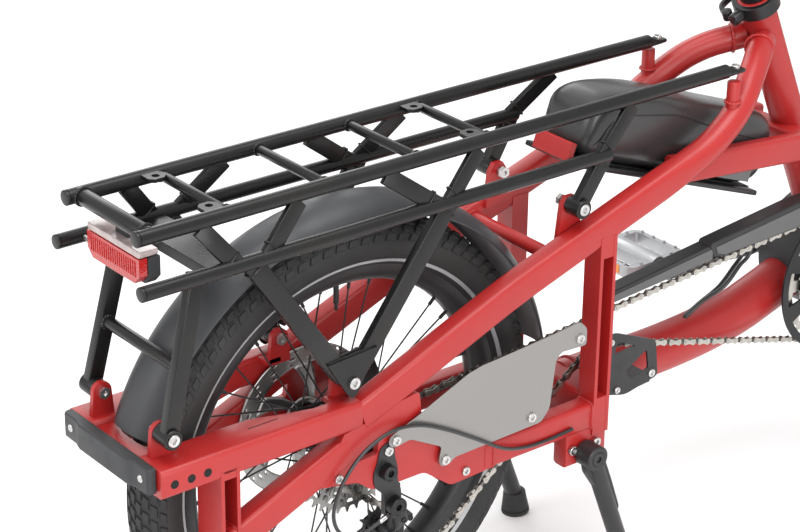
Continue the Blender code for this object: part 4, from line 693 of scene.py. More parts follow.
arch = [(-0.2600 + 0.0400 * (y / 0.0440) ** 4, y) for y in np.linspace(-0.0440, 0.0440, 25)]
points, faces = plate([(-0.279, -0.0440), *arch, (-0.279, 0.0440)], (0.3225, 0.3480))
tail_bridge = [(points[:, [0, 2, 1]], faces)]
make("truss_right_tubes", "frame", truss_tubes(), red_paint)
make("truss_right_plates", "frame", truss_plates() + tail_bridge, red_paint,
     ["side_truss_right"], bevel=0.0011)
make("truss_left_tubes", "frame", flipped(truss_tubes()), red_paint)
make("truss_left_plates", "frame", flipped(truss_plates()), red_paint,
     ["side_truss_left"], bevel=0.0011)
# Painted shade: thin near-black rings and caps on each tail rail's outer face, and a thin dark sheet on its
# top, stand in for the shade inside its holes and its slot. They are not real openings.
holes_dark, _ = matter("hole_shadow", 0.9)
shade = node(holes_dark.node_tree, "ShaderNodeTexNoise")
holes_dark.node_tree.links.new(
    ranged(holes_dark.node_tree, shade.outputs["Fac"], 0.0, 1.0, 0.004, 0.012),
    holes_dark.node_tree.nodes["Principled BSDF"].inputs["Base Color"])
rail_hole_shadows = []
for side in (-1, 1):
    for x in (-0.265, -0.2450, -0.2256):
        rail_hole_shadows.append(lathe([(0.0030, 0), (0.0047, 0), (0.0047, 0.0004), (0.0030, 0.0004)],
                                (x, side * 0.0879, 0.336), (0, side, 0), 24, closed=True))
        rail_hole_shadows.append(lathe([(0.0031, 0), (0.0031, 0.0002)], (x, side * 0.0879, 0.336), (0, side, 0), 24))
    rail_hole_shadows.append(block((-0.160, -0.122), sorted((side * 0.0630, side * 0.0642)), (0.3528, 0.35365)))
make("rail_hole_shadows", "frame", rail_hole_shadows, holes_dark)
make("truss_bolts", "frame",
     [bolt((x, side * 0.0866, z), (0, side, 0), 0.0052, 0.0036) for side in (-1, 1)
      for x, z in ((0.112, 0.2235), (-0.062, 0.2725))]
     + [bolt((x, side * 0.0880, 0.197), (0, side, 0), 0.0056, 0.004) for side in (-1, 1)
        for x in (0.270, 0.306)], steel)

# ---------- upper stays
# The painted stays run from the dropouts up to the seat tube, turning from rectangular to round
# section on the way. A cross tube, two side tubes and a bridge tie them together.
STAY_ROUTE = [(-0.030, -0.0753, 0.334), (0.180, -0.0753, 0.418), (0.430, -0.0753, 0.499),
              (0.475, -0.0752, 0.5160), (0.525, -0.0700, 0.5480), (0.568, -0.0470, 0.5820),
              (0.616, -0.0140, 0.5975)]


def stay_side():
    """One stay, whose section blends from rectangular to round by a smooth step, and its fittings."""
    path = rounded(STAY_ROUTE, 0.035, 6)
    share = np.clip((path[:, 0] - 0.36) / 0.14, 0, 1)
    share = share * share * (3 - 2 * share)
    stay = bar(path, 0.0246 + 0.0070 * share, 0.035 - 0.0034 * share, 0.0055 + 0.0098 * share)
    around = np.array([(0.256, 0.450), (0.290, 0.458), (0.285, 0.493), (0.279, 0.502), (0.267, 0.502),
                       (0.261, 0.493)])
    side_tube = [(0.430, -0.0552, 0.4910), (0.692, -0.0552, 0.4650)]
    return [stay, plate(around, (-0.0645, -0.0575)),
            tube([(0.512, -0.0700, 0.545), (0.512, -0.0700, 0.5855)], 0.0078),
            weld_round((0.512, -0.0700, 0.5610), (0, 0, 1), 0.0086),
            bar(side_tube, 0.0173, 0.034, 0.005),
            weld_round((0.242, -0.0625, 0.4410), (0, 1, 0), 0.0086),
            weld_round((0.6010, -0.0225, 0.5935), (0.05, 0.035, 0.006), 0.0166)]


stays = stay_side() + flipped(stay_side())
stays.append(tube([(0.242, -0.070, 0.4410), (0.242, 0, 0.4410), (0.242, 0.070, 0.4410)], 0.0078))
stays.append(bar([(0.6688, -0.0550, 0.469), (0.6688, 0.0550, 0.469)], 0.0300, 0.020, lean=(1, 0, 0)))
make("upper_stay_tubes", "frame", stays, red_paint, ["upper_stays"])

# ---------- main frame tubes
# Painted steel seat tube, head tube, the low tube to the motor and the step-through tube.
LEAN = np.array((-0.408, 0, 0.913))
SEAT_TOP = np.array((0.610, 0, 0.650))
STEER = np.array((1.1262, 0, 0.650))
STEER_AXIS = np.array((-math.cos(math.radians(70)), 0, math.sin(math.radians(70))))
make("seat_tube_shell", "frame", [
    lathe([(0.0171, 0.0), (0.0205, 0.0), (0.021, -0.0006), (0.021, -0.3040), (0.0171, -0.3040)],
          SEAT_TOP, LEAN, 48, closed=True)], red_paint, ["seat_tube"])
main_route = rounded([(0.330, 0, 0.2265), (0.575, 0, 0.2265), (0.705, 0, 0.2660)], 0.12, 12)
make("low_tube", "frame", [
    tube(main_route, 0.029, 40), weld_round((0.3460, 0, 0.2265), (1, 0, 0), 0.0298, 0.0021),
    bar([(0.32275, -0.0612, 0.2270), (0.32275, 0.0612, 0.2270)], 0.0445, 0.052, 0.006, lean=(1, 0, 0))],
    red_paint, ["main_tube"])
down_route = rounded([(0.800, 0, 0.3260), (0.900, 0, 0.385), (1.030, 0, 0.520), (1.100, 0, 0.646)], 0.20, 14)
make("step_through_tube", "frame", [
    tube(down_route, 0.030, 40), weld_round((1.0915, 0, 0.6310), (0.42, 0, 0.86), 0.0306, 0.0021)],
    red_paint, ["down_tube"])
make("head_tube_shell", "frame", [
    lathe([(0.0147, 0.088), (0.0262, 0.088), (0.0270, 0.087), (0.0270, 0.078), (0.025, 0.075),
           (0.025, -0.065), (0.0270, -0.068), (0.0270, -0.077), (0.0262, -0.078), (0.0147, -0.078)],
          STEER, STEER_AXIS, 56, closed=True)], red_paint, ["head_tube"])

# ---------- tyres
# Black rubber balloon tyres with rows of small tread blocks and a pale reflective band.
FRONT_X = 1.310
WHEELS = {"rear": (0.0, "rear_wheel"), "front": (FRONT_X, "front_wheel")}
AXLE_Z = 0.262


def tyre_profile(spots):
    """Radius and sideways place on the tyre's cross-section, from 0 at one bead to 1 at the other."""
    known = np.array([(0.2098, 0.0195), (0.2140, 0.0245), (0.2220, 0.0290), (0.2300, 0.0308),
                      (0.2370, 0.0308), (0.2450, 0.0280), (0.2520, 0.0226), (0.2570, 0.0150),
                      (0.2593, 0.0075), (0.2600, 0.0)])
    both = np.vstack([known, known[-2::-1] * (1, -1)])
    along = np.concatenate([[0], np.cumsum(np.linalg.norm(np.diff(both, axis=0), axis=1))])
    along /= along[-1]
    return np.stack([np.interp(spots, along, both[:, 0]), np.interp(spots, along, both[:, 1])], -1)


def tyre_shell(x):
    """The tyre's cross-section and a narrower copy inside it, turned round the axle."""
    outside = tyre_profile(np.linspace(0, 1, 41))
    inside = tyre_profile(np.linspace(1, 0, 21)) * (1, 0.86) - (0.0022, 0)
    return lathe(np.vstack([outside, inside]), (x, 0, AXLE_Z), (0, 1, 0), 128, closed=True)


def tread(x):
    """Blocks in staggered rows: each is a small frustum whose foot lies on the cross-section."""
    rows = np.array([0.250, 0.315, 0.378, 0.440, 0.500, 0.560, 0.622, 0.685, 0.750])
    per_row = 92
    row, number = np.meshgrid(np.arange(len(rows)), np.arange(per_row), indexing="ij")
    middle = (number.ravel() + 0.5 * (row.ravel() % 2)) * math.tau / per_row
    across = rows[row.ravel()]
    corners = np.array([(-1, -1), (1, -1), (1, 1), (-1, 1)])
    parts = []
    for shrink, rise in ((1.0, -0.0008), (0.82, 0.0019)):
        spot = across[:, None] + corners[None, :, 0] * 0.0255 * shrink
        angle = middle[:, None] + corners[None, :, 1] * 0.0245 * shrink + corners[None, :, 0] * 0.007
        flat = tyre_profile(spot)
        radius = flat[..., 0] + rise * (1 - np.abs(spot - 0.5) * 1.2)
        side = flat[..., 1] + rise * (0.5 - spot) * 2.6
        parts.append(np.stack([x + radius * np.cos(angle), side, AXLE_Z + radius * np.sin(angle)], -1))
    points = np.concatenate(parts, 1).reshape(-1, 3)
    pattern = np.array([(0, 1, 2, 3), (4, 5, 6, 7), (0, 1, 5, 4), (1, 2, 6, 5), (2, 3, 7, 6), (3, 0, 4, 7)])
    faces = (np.arange(len(middle))[:, None, None] * 8 + pattern[None]).reshape(-1, 4)
    return points, faces.tolist()


band_grey = finished("reflective_band", (0.36, 0.37, 0.38), (0.30, 0.31, 0.32), (0.30, 0.45), (1800, 0.00005))
for label, (x, body) in WHEELS.items():
    make(label + "_tyre_rubber", body, [tyre_shell(x), tread(x)], rubber, [label + "_tyre"])
    bands = []
    for side in (-1, 1):
        foot, head = tyre_profile(np.array([0.045, 0.075]))
        bands.append(lathe([foot * (1, side), foot * (1, side) + (0, side * 0.0005),
                            head * (1, side) + (0, side * 0.0005), head * (1, side)],
                           (x, 0, AXLE_Z), (0, 1, 0), 128, closed=True))
    make(label + "_tyre_bands", body, bands, band_grey)

# ---------- rims and spokes
# Black extruded rims, thirty-six crossed steel spokes with nipples, and a valve.
SPOKE_COUNT = 36
HUBS = {"rear": (-0.0180, 0.0350, 0.0595, 0.026, 0.0165, 0.0735),
        "front": (-0.0330, 0.0250, 0.0400, 0.022, 0.0135, 0.0548)}


def rods(starts, ends, radius, sides=6):
    """Many thin rods at once, each a prism between its two ends."""
    run = unit(ends - starts)
    side = unit(np.cross(run, (0.0, 0.0, 1.0)) + 1e-9)
    top = np.cross(run, side)
    around = np.linspace(0, math.tau, sides, endpoint=False)
    ring = radius * (np.cos(around)[None, :, None] * side[:, None]
                     + np.sin(around)[None, :, None] * top[:, None])
    points = np.concatenate([starts[:, None] + ring, ends[:, None] + ring], 1).reshape(-1, 3)
    here = np.arange(sides)
    walls = np.stack([here, (here + 1) % sides, (here + 1) % sides + sides, here + sides], -1)
    first = np.arange(len(starts)) * 2 * sides
    faces = (first[:, None, None] + walls[None]).reshape(-1, 4).tolist()
    faces += (first[:, None] + here).tolist() + (first[:, None] + here + sides).tolist()
    return points, faces


def spoke_ends(label, x):
    """Hub end and rim end of each spoke: alternate flanges, and crossed in pairs."""
    low, high, _, flange, _, _ = HUBS[label]
    number = np.arange(SPOKE_COUNT)
    rim_angle = math.tau * (number + 0.5) / SPOKE_COUNT
    lead = np.where((number // 2) % 2 == 0, 1, -1) * math.radians(62)
    hub_angle = rim_angle + lead
    y = np.where(number % 2 == 0, low, high)
    hub = np.stack([x + flange * np.cos(hub_angle), y, AXLE_Z + flange * np.sin(hub_angle)], -1)
    rim = np.stack([x + 0.1895 * np.cos(rim_angle), y * 0.10, AXLE_Z + 0.1895 * np.sin(rim_angle)], -1)
    return hub, rim


for label, (x, body) in WHEELS.items():
    section = [(0.2094, 0.0190), (0.2088, 0.0172), (0.2030, 0.0168), (0.1990, 0.0120), (0.1985, -0.0120),
               (0.2030, -0.0168), (0.2088, -0.0172), (0.2094, -0.0190), (0.2030, -0.0190), (0.1965, -0.0172),
               (0.1900, -0.0110), (0.1884, -0.0060), (0.1880, 0.0), (0.1884, 0.0060), (0.1900, 0.0110),
               (0.1965, 0.0172), (0.2030, 0.0190)]
    make(label + "_rim_hoop", body,
         [lathe(section, (x, 0, AXLE_Z), (0, 1, 0), 128, closed=True)], black_coat, [label + "_rim"],
         angle=50)
    hub_ends, rim_ends = spoke_ends(label, x)
    inward = unit(hub_ends - rim_ends)
    nipples = rods(rim_ends - inward * 0.002, rim_ends + inward * 0.011, 0.0021)
    valve = [lathe([(0.0031, 0), (0.0031, 0.026), (0.0020, 0.027), (0.0020, 0.034)],
                   (x, 0, AXLE_Z + 0.190), (0, 0, -1), 16)]
    make(label + "_spokes", body, [rods(hub_ends, rim_ends, 0.0010), nipples, *valve],
         black_coat)

# ---------- hubs and rotors
# Turned black hub shells with drilled flanges; steel brake rotors bolted on the left.


def perforated(x, y, inner, outer, sectors, rings, keep):
    """A flat ring of cells, some of them left open, as a sheet that gets its thickness later."""
    radius = np.linspace(inner, outer, rings + 1)
    angle = np.linspace(0, math.tau, sectors, endpoint=False)
    r, a = np.meshgrid(radius, angle, indexing="ij")
    skew = (r - inner) * 9
    points = np.stack([x + r * np.cos(a + skew), np.full_like(r, y), AXLE_Z + r * np.sin(a + skew)], -1)
    faces = np.array(quads(rings + 1, sectors)).reshape(rings, sectors, 4)
    mask = keep(*np.meshgrid(np.arange(rings), np.arange(sectors), indexing="ij"))
    return points.reshape(-1, 3), faces[mask].tolist()


rotor_steel = finished("rotor_steel", (0.50, 0.50, 0.49), (0.40, 0.40, 0.39), (0.30, 0.42), (500, 0.00004),
                       metallic=1.0)
for label, (x, body) in WHEELS.items():
    low, high, rotor_y, flange, waist, half = HUBS[label]
    edge = flange + 0.004
    shell = [(0.0064, half), (0.0100, half), (0.0105, half - 0.0010), (0.0110, rotor_y + 0.006),
             (0.0160, rotor_y + 0.004), (0.0160, high + 0.008), (0.0200, high + 0.0025),
             (edge - 0.0008, high + 0.0018), (edge, high + 0.0008), (edge, high - 0.0008),
             (edge - 0.0008, high - 0.0018), (waist + 0.003, high - 0.0030), (waist, high - 0.0070),
             (waist, low + 0.0070), (waist + 0.003, low + 0.0030), (edge - 0.0008, low + 0.0018),
             (edge, low + 0.0008), (edge, low - 0.0008), (edge - 0.0008, low - 0.0018),
             (0.0160, low - 0.0040), (0.0155, -half + 0.006), (0.0105, -half + 0.0010), (0.0100, -half),
             (0.0064, -half)]
    holes = []
    for y in (low, high):
        spot = np.radians(np.arange(18) * 20.0)
        ends = np.stack([x + flange * np.cos(spot), np.full(18, y - 0.0022), AXLE_Z + flange * np.sin(spot)],
                        -1)
        holes.append(rods(ends, ends + (0, 0.0044, 0), 0.0016))
    make(label + "_hub_shell", body,
         [lathe(shell, (x, 0, AXLE_Z), (0, 1, 0), 64, closed=True)], anodised, [label + "_hub"])
    make(label + "_spoke_heads", body, holes, steel)
    track = perforated(x, rotor_y, 0.0690, 0.0900, 216, 9,
                       lambda ring, cell: ~(((ring == 1) & (cell % 12 < 2))
                                            | ((ring == 4) & ((cell + 4) % 12 < 3))
                                            | ((ring == 7) & ((cell + 8) % 12 < 2))))
    arms = perforated(x, rotor_y, 0.0270, 0.0692, 72, 8, lambda ring, cell: cell % 12 < 4)
    carrier = perforated(x, rotor_y, 0.0170, 0.0272, 72, 2, lambda ring, cell: ring >= 0)
    rotor = make(label + "_rotor", body, [track, arms, carrier], rotor_steel)
    thickness = rotor.modifiers.new("thickness", "SOLIDIFY")
    thickness.thickness = 0.0017
    thickness.offset = 0
    spot = np.radians(np.arange(6) * 60.0 + 8)
    make(label + "_rotor_bolts", body,
         [bolt((x + 0.0220 * math.cos(a), rotor_y + 0.0008, AXLE_Z + 0.0220 * math.sin(a)), (0, 1, 0),
               0.0036, 0.0022) for a in spot], alloy)

# ---------- mudguards
# Broad black moulded strips with rolled edges, bent round the wheels.


def mudguard(x, first, last):
    """A crowned section with rolled rims carried round part of a circle."""
    y = np.linspace(0.036, -0.036, 25)
    outer = np.stack([0.286 - 0.014 * (y / 0.036) ** 2 * np.abs(y / 0.036) ** 0.6, y], -1)
    lip = np.array([(0.2705, -0.0362), (0.2698, -0.0348), (0.2708, -0.0336)])
    inner = outer[1:-1][::-1] - (0.0022, 0)
    section = np.vstack([outer, lip, inner, (lip * (1, -1))[::-1]])
    angle = np.radians(np.linspace(first, last, 97))
    grid = np.stack([x + section[None, :, 0] * np.cos(angle)[:, None],
                     np.broadcast_to(section[:, 1], (97, len(section))),
                     AXLE_Z + section[None, :, 0] * np.sin(angle)[:, None]], -1)
    count = len(section)
    faces = quads(97, count)
    return grid.reshape(-1, 3), faces + [list(range(count)), list(range(96 * count, 97 * count))]


guard_plastic = finished("mudguard_plastic", (0.034, 0.035, 0.038), (0.045, 0.046, 0.05), (0.36, 0.50),
                         (1400, 0.00012), patch=5)
make("rear_mudguard_strip", "frame", [mudguard(0.0, 8, 160)], guard_plastic,
     ["rear_mudguard"])
make("front_mudguard_strip", "steering", [mudguard(FRONT_X, 28, 196)], guard_plastic,
     ["front_mudguard"])

# ---------- sprockets and chain
# Stamped steel and moulded sprockets whose teeth follow the half-inch pitch, and a roller chain of
# waisted side plates, rollers and pins, laid link by link round the path that the drive gives it.
PITCH, CHAIN_Y = 0.0127, -0.046
RING, IDLER, GUIDE, TENSION = (0.745, 0.275), (0.338, 0.272), (0.020, 0.168), (0.062, 0.110)


def pitch_radius(teeth):
    """Chain pitch over twice the sine of half a turn divided by the teeth."""
    return PITCH / (2 * math.sin(math.pi / teeth))


def sprocket(centre, teeth, y_range, bore, windows=()):
    """Toothed plate. A tooth rises to a narrow tip between two hollows; every window is cut
    through the web at equal turns, given as (inner radius, outer radius, count, share of turn)."""
    at = np.array([-0.34, -0.20, -0.11, -0.05, 0.05, 0.11, 0.20, 0.34])
    lift = np.array([-0.0040, -0.0026, 0.0006, 0.0030, 0.0030, 0.0006, -0.0026, -0.0040])
    angle = ((np.arange(teeth)[:, None] + 0.5 + at[None]) * math.tau / teeth).ravel()
    radius = pitch_radius(teeth) + np.tile(lift, teeth)
    outline = np.stack([centre[0] + radius * np.cos(angle), centre[1] + radius * np.sin(angle)], -1)
    holes = [circle(centre, bore, 40)]
    for low, high, count, share in windows:
        for number in range(count):
            middle = (number + 0.5) * math.tau / count
            spread = np.linspace(-0.5, 0.5, 7) * share * math.tau / count
            ring = np.concatenate([middle + spread, (middle + spread)[::-1]])
            reach = np.repeat([high, low], 7)
            corner = np.array([0.90] + [1] * 5 + [0.90])
            reach = reach - (high - low) * 0.12 * np.sign(reach - (high + low) / 2) * np.tile(corner < 1, 2)
            holes.append(np.stack([centre[0] + reach * np.cos(ring), centre[1] + reach * np.sin(ring)], -1))
    return plate(outline, y_range, holes)


def chain_path():
    """Closed line round the wheels: straight runs along the common tangents, arcs on the wheels.
    Each wheel has its pitch radius, and a turn of 1 where the chain bends left, -1 right."""
    wheels = [((0.0, AXLE_Z), pitch_radius(20), -1), (RING, pitch_radius(44), -1),
              (IDLER, pitch_radius(11), 1), (TENSION, pitch_radius(11), -1), (GUIDE, pitch_radius(11), 1)]
    runs = []
    for (here, radius, turn), (there, next_radius, next_turn) in zip(wheels, wheels[1:] + wheels[:1]):
        span = np.subtract(there, here)
        heading = math.atan2(span[1], span[0]) - math.asin(
            (next_turn * next_radius - turn * radius) / np.linalg.norm(span))
        runs.append(heading)
    path = []
    for number, (centre, radius, turn) in enumerate(wheels):
        sweep = (runs[number] - runs[number - 1]) * turn % math.tau
        heading = runs[number - 1] + turn * np.linspace(0, sweep, 60)
        path.append(np.stack([centre[0] + turn * radius * np.sin(heading),
                              centre[1] - turn * radius * np.cos(heading)], -1))
    return np.vstack(path)


def chain_pins():
    """Points along the closed path at even steps, as near to the pitch as a whole count allows."""
    path = chain_path()
    closed = np.vstack([path, path[:1]])
    gone = np.concatenate([[0], np.cumsum(np.linalg.norm(np.diff(closed, axis=0), axis=1))])
    count = round(gone[-1] / PITCH / 2) * 2
    at = np.linspace(0, gone[-1], count, endpoint=False)
    return np.stack([np.interp(at, gone, closed[:, axis]) for axis in (0, 1)], -1)


def side_plate(start, end, y_range, radius):
    """Waisted link plate: two round heads joined by a narrower middle."""
    run = end - start
    length = np.linalg.norm(run)
    run = run / length
    left = np.array([-run[1], run[0]])
    around = np.radians([110, 150, 180, 210, 250])
    head = np.stack([radius * np.cos(around), radius * np.sin(around)], -1)
    waist = [(length / 2, -radius * 0.48)]
    tail = np.stack([length - head[::-1, 0], head[::-1, 1]], -1)[::-1]
    shape = np.vstack([head, waist, tail[::-1] * (1, 1), [(length / 2, radius * 0.48)]])
    return plate(start + shape[:, :1] * run + shape[:, 1:] * left, y_range)


pins = chain_pins()
outer_links, inner_links, pin_parts = [], [], []
for number, pin in enumerate(pins):
    after = pins[(number + 1) % len(pins)]
    if number % 2:
        outer_links += [side_plate(pin, after, sorted((CHAIN_Y + side * 0.0019, CHAIN_Y + side * 0.0028)),
                                   0.0043)
                        for side in (-1, 1)]
    else:
        inner_links += [side_plate(pin, after, sorted((CHAIN_Y + side * 0.0009, CHAIN_Y + side * 0.0018)),
                                   0.0038)
                        for side in (-1, 1)]
    pin_parts.append(lathe([(0.0018, -0.0031), (0.0018, 0.0031)], (pin[0], CHAIN_Y, pin[1]), (0, 1, 0), 8))
    pin_parts.append(lathe([(0.0032, -0.0008), (0.0032, 0.0008)], (pin[0], CHAIN_Y, pin[1]), (0, 1, 0), 10))
chain_steel = finished("chain_steel", (0.50, 0.48, 0.44), (0.34, 0.32, 0.29), (0.22, 0.40), (900, 0.00003),
                       metallic=1.0, patch=60)
link_dark = finished("link_dark", (0.16, 0.15, 0.14), (0.10, 0.095, 0.09), (0.3, 0.5), (900, 0.00003),
                     metallic=1.0)
make("chain_outer_links", "frame", outer_links, chain_steel, ["chain"])
make("chain_inner_links", "frame", inner_links, link_dark)
make("chain_pins_rollers", "frame", pin_parts, chain_steel)

cog_steel = finished("cog_steel", (0.30, 0.295, 0.285), (0.20, 0.195, 0.19), (0.26, 0.44), (900, 0.00003),
                     metallic=1.0, patch=50)
cogs = []
for number, teeth in enumerate((11, 13, 15, 17, 20, 23, 26, 30, 36)):
    y = CHAIN_Y + (number - 4) * 0.00435
    reach = pitch_radius(teeth)
    windows = []
    if teeth >= 20:
        windows = [(0.0235, reach - 0.0095, 7, 0.62)]
    if teeth >= 30:
        windows = [(0.0235, 0.0390, 7, 0.62), (0.0430, reach - 0.0080, 14, 0.55)]
    cogs.append(sprocket((0, AXLE_Z), teeth, (y - 0.0008, y + 0.0008), 0.0165, windows))
cogs.append(lathe([(0.0165, -0.0660), (0.0192, -0.0660), (0.0192, -0.0262), (0.0165, -0.0262)], (0, 0, 0.262),
                  (0, 1, 0), 48, closed=True))
make("cassette_cogs", "freewheel", cogs, cog_steel, ["cassette"])

pulley_black = finished("pulley_black", (0.016, 0.016, 0.017), (0.026, 0.026, 0.027), (0.40, 0.58),
                        (1200, 0.0001))
for name, body, spot, bore in (("guide", "guide", GUIDE, 0.0034), ("tension", "tension", TENSION, 0.0034),
                               ("idler", "idler", IDLER, 0.0044)):
    wheel = [sprocket(spot, 11, (CHAIN_Y - 0.0011, CHAIN_Y + 0.0011), bore,
                      [(0.0095, 0.0150, 5, 0.6)] if name != "idler" else ()),
             lathe([(bore, -0.0040), (0.0088, -0.0040), (0.0088, 0.0040), (bore, 0.0040)],
                   (spot[0], CHAIN_Y, spot[1]), (0, 1, 0), 32, closed=True)]
    node_name = "idler_wheel" if name == "idler" else name + "_pulley"
    make(name + "_toothed", body, wheel, pulley_black, [node_name])

# ---------- crankset and pedals
# Forged arms on a through spindle, a steel chainring on a spider with a slotted guard disc, and
# platform pedals: a cast cage with traction pins round a barrel, and amber reflectors.
ring_parts = [sprocket(RING, 44, (CHAIN_Y - 0.0010, CHAIN_Y + 0.0010), 0.058, [(0.064, 0.078, 12, 0.6)])]
make("chainring", "cranks", ring_parts, chain_steel)
guard_outline = circle(RING, 0.1000, 96)
guard_slots = []
for number in range(8):
    spread = number * math.tau / 8 + np.linspace(-0.26, 0.26, 9)
    slot = np.vstack([np.stack([np.cos(spread), np.sin(spread)], -1) * 0.090,
                      np.stack([np.cos(spread), np.sin(spread)], -1)[::-1] * 0.066])
    guard_slots.append(slot + RING)
crank_parts = [plate(guard_outline, (-0.0525, -0.0500), guard_slots + [circle(RING, 0.016, 40)])]
for number in range(4):
    angle = (number + 0.5) * math.tau / 4
    tip = (RING[0] + 0.060 * math.cos(angle), RING[1] + 0.060 * math.sin(angle))
    crank_parts.append(bar([(RING[0], -0.0600, RING[1]), (tip[0], -0.0560, tip[1])], (0.011, 0.006),
                           (0.026, 0.017), 0.0028))
    crank_parts.append(bolt((tip[0], -0.0585, tip[1]), (0, -1, 0), 0.0050, 0.0020))
crank_parts.append(lathe([(0.0100, -0.0790), (0.0205, -0.0790), (0.0260, -0.0740), (0.0300, -0.0600),
                          (0.0300, -0.0540), (0.0100, -0.0540)], (RING[0], 0, RING[1]), (0, 1, 0), 48,
                         closed=True))
crank_parts.append(lathe([(0.0100, 0.0420), (0.0160, 0.0420), (0.0180, 0.0780), (0.0100, 0.0780)],
                         (RING[0], 0, RING[1]), (0, 1, 0), 40, closed=True))
for side, forward in ((-1, 1), (1, -1)):
    tip_x = RING[0] + forward * 0.165
    crank_parts.append(bar([(RING[0] - forward * 0.014, side * 0.0835, RING[1]),
                            (RING[0] + forward * 0.02, side * 0.0835, RING[1]),
                            (RING[0] + forward * 0.08, side * 0.0840, RING[1]),
                            (tip_x, side * 0.0840, RING[1]),
                            (tip_x + forward * 0.012, side * 0.0840, RING[1])],
                           (0.0145, 0.0150, 0.0135, 0.0130, 0.0120), (0.030, 0.0350, 0.0250, 0.0265, 0.018),
                           0.0050, 0.0024))
    crank_parts.append(tube([(tip_x, side * 0.0880, RING[1]), (tip_x, side * 0.1900, RING[1])], 0.0060, 24))
    crank_parts.append(lathe([(0.0050, 0), (0.0086, 0), (0.0086, 0.0040), (0.0050, 0.0040)],
                             (tip_x, side * 0.0905, RING[1]), (0, side, 0), 6, closed=True))
    crank_parts.append(bolt((RING[0], side * 0.0905, RING[1]), (0, side, 0), 0.0085, 0.0030))
crank_parts.append(tube([(RING[0], -0.0905, RING[1]), (RING[0], 0.0905, RING[1])], 0.0099, 32))
make("crank_arms", "cranks", crank_parts, anodised, ["crankset"])

amber, amber_shader = matter("amber_reflector", 0.18, coat=0.5)
amber_cells = node(amber.node_tree, "ShaderNodeTexVoronoi")
amber_cells.inputs["Scale"].default_value = 500
amber.node_tree.links.new(node(amber.node_tree, "ShaderNodeTexCoord").outputs["Object"],
                          amber_cells.inputs["Vector"])
amber_blend = node(amber.node_tree, "ShaderNodeMix", data_type="RGBA")
amber_blend.inputs[6].default_value = (0.70, 0.17, 0.01, 1)
amber_blend.inputs[7].default_value = (0.95, 0.34, 0.03, 1)
amber.node_tree.links.new(amber_cells.outputs["Distance"], amber_blend.inputs["Factor"])
amber.node_tree.links.new(amber_blend.outputs[2], amber_shader.inputs["Base Color"])
for label, side, forward in (("right", -1, 1), ("left", 1, -1)):
    x, y, z = RING[0] + forward * 0.165, side * 0.1450, RING[1]
    frame_line = rounded([(x - 0.047, 0, y - 0.036), (x - 0.040, 0, y - 0.045), (x + 0.040, 0, y - 0.045),
                          (x + 0.047, 0, y - 0.036), (x + 0.047, 0, y + 0.036), (x + 0.040, 0, y + 0.045),
                          (x - 0.040, 0, y + 0.045), (x - 0.047, 0, y + 0.036)], 0.004, 3)[:, [0, 2]]
    windows = [rounded([(x + near, 0, y - 0.036), (x + far, 0, y - 0.036), (x + far, 0, y + 0.036),
                        (x + near, 0, y + 0.036), (x + near, 0, y - 0.036)], 0.004, 3)[1:, [0, 2]]
               for near, far in ((-0.040, -0.0145), (0.0145, 0.040))]
    points, faces = plate(frame_line, (-0.0080, 0.0080), windows)
    cage = [(points[:, [0, 2, 1]] + (0, 0, z), faces),
            lathe([(0.0068, -0.0450), (0.0120, -0.0450), (0.0134, -0.0420), (0.0134, 0.0420),
                   (0.0120, 0.0450), (0.0068, 0.0450)], (x, y, z), (0, 1, 0), 40, closed=True)]
    cage += [lathe([(0.0022, -0.0105), (0.0022, 0.0105)], (x + dx, y + dy, z), (0, 0, 1), 8)
             for dx in (-0.0435, 0.0435) for dy in (-0.030, -0.010, 0.010, 0.030)]
    cage += [lathe([(0.0022, -0.0105), (0.0022, 0.0105)], (x + dx, y + dy, z), (0, 0, 1), 8)
             for dx in (-0.026, 0.026) for dy in (-0.0405, 0.0405)]
    make("pedal_" + label + "_cage", label + "_pedal", cage, alloy, ["pedal_" + label],
         bevel=0.0008)
    make("pedal_" + label + "_reflectors", label + "_pedal",
         [block(sorted((x + dx * 0.0468, x + dx * 0.0482)), (y - 0.024, y + 0.024), (z - 0.0055, z + 0.0055))
          for dx in (-1, 1)], amber, bevel=0.0006)

# ---------- motor, chain case, idler, derailleur
# Cast motor with stepped ends and four screws on each; a moulded case over the chain; a steel
# bracket for the idler; and a black derailleur with two knuckles, its link block and the pulley cage.
motor_parts = [lathe([(0.0104, -0.0402), (0.0480, -0.0402), (0.0500, -0.0385), (0.0660, -0.0370),
                      (0.0720, -0.0320), (0.0720, 0.0320), (0.0660, 0.0370), (0.0500, 0.0385),
                      (0.0480, 0.0402), (0.0104, 0.0402)],
                     (0.760, 0, 0.290), (0, 1, 0), 96, closed=True)]
for number in range(0, 10, 3):
    angle = math.radians(24 + 13 * number)
    spot = (0.760 + 0.0640 * math.cos(angle), 0.290 + 0.0640 * math.sin(angle))
    motor_parts += [bolt((spot[0], side * 0.0362, spot[1]), (0, side, 0), 0.0034, 0.0026)
                    for side in (-1, 1)]
make("motor_casting", "frame", motor_parts, moulded, ["motor"])


def arc_points(radius, first, last, steps):
    """Arc about the crank axis between two angles in degrees."""
    angle = np.radians(np.linspace(first, last, steps))
    return np.stack([RING[0] + radius * np.cos(angle), RING[1] + radius * np.sin(angle)], -1)


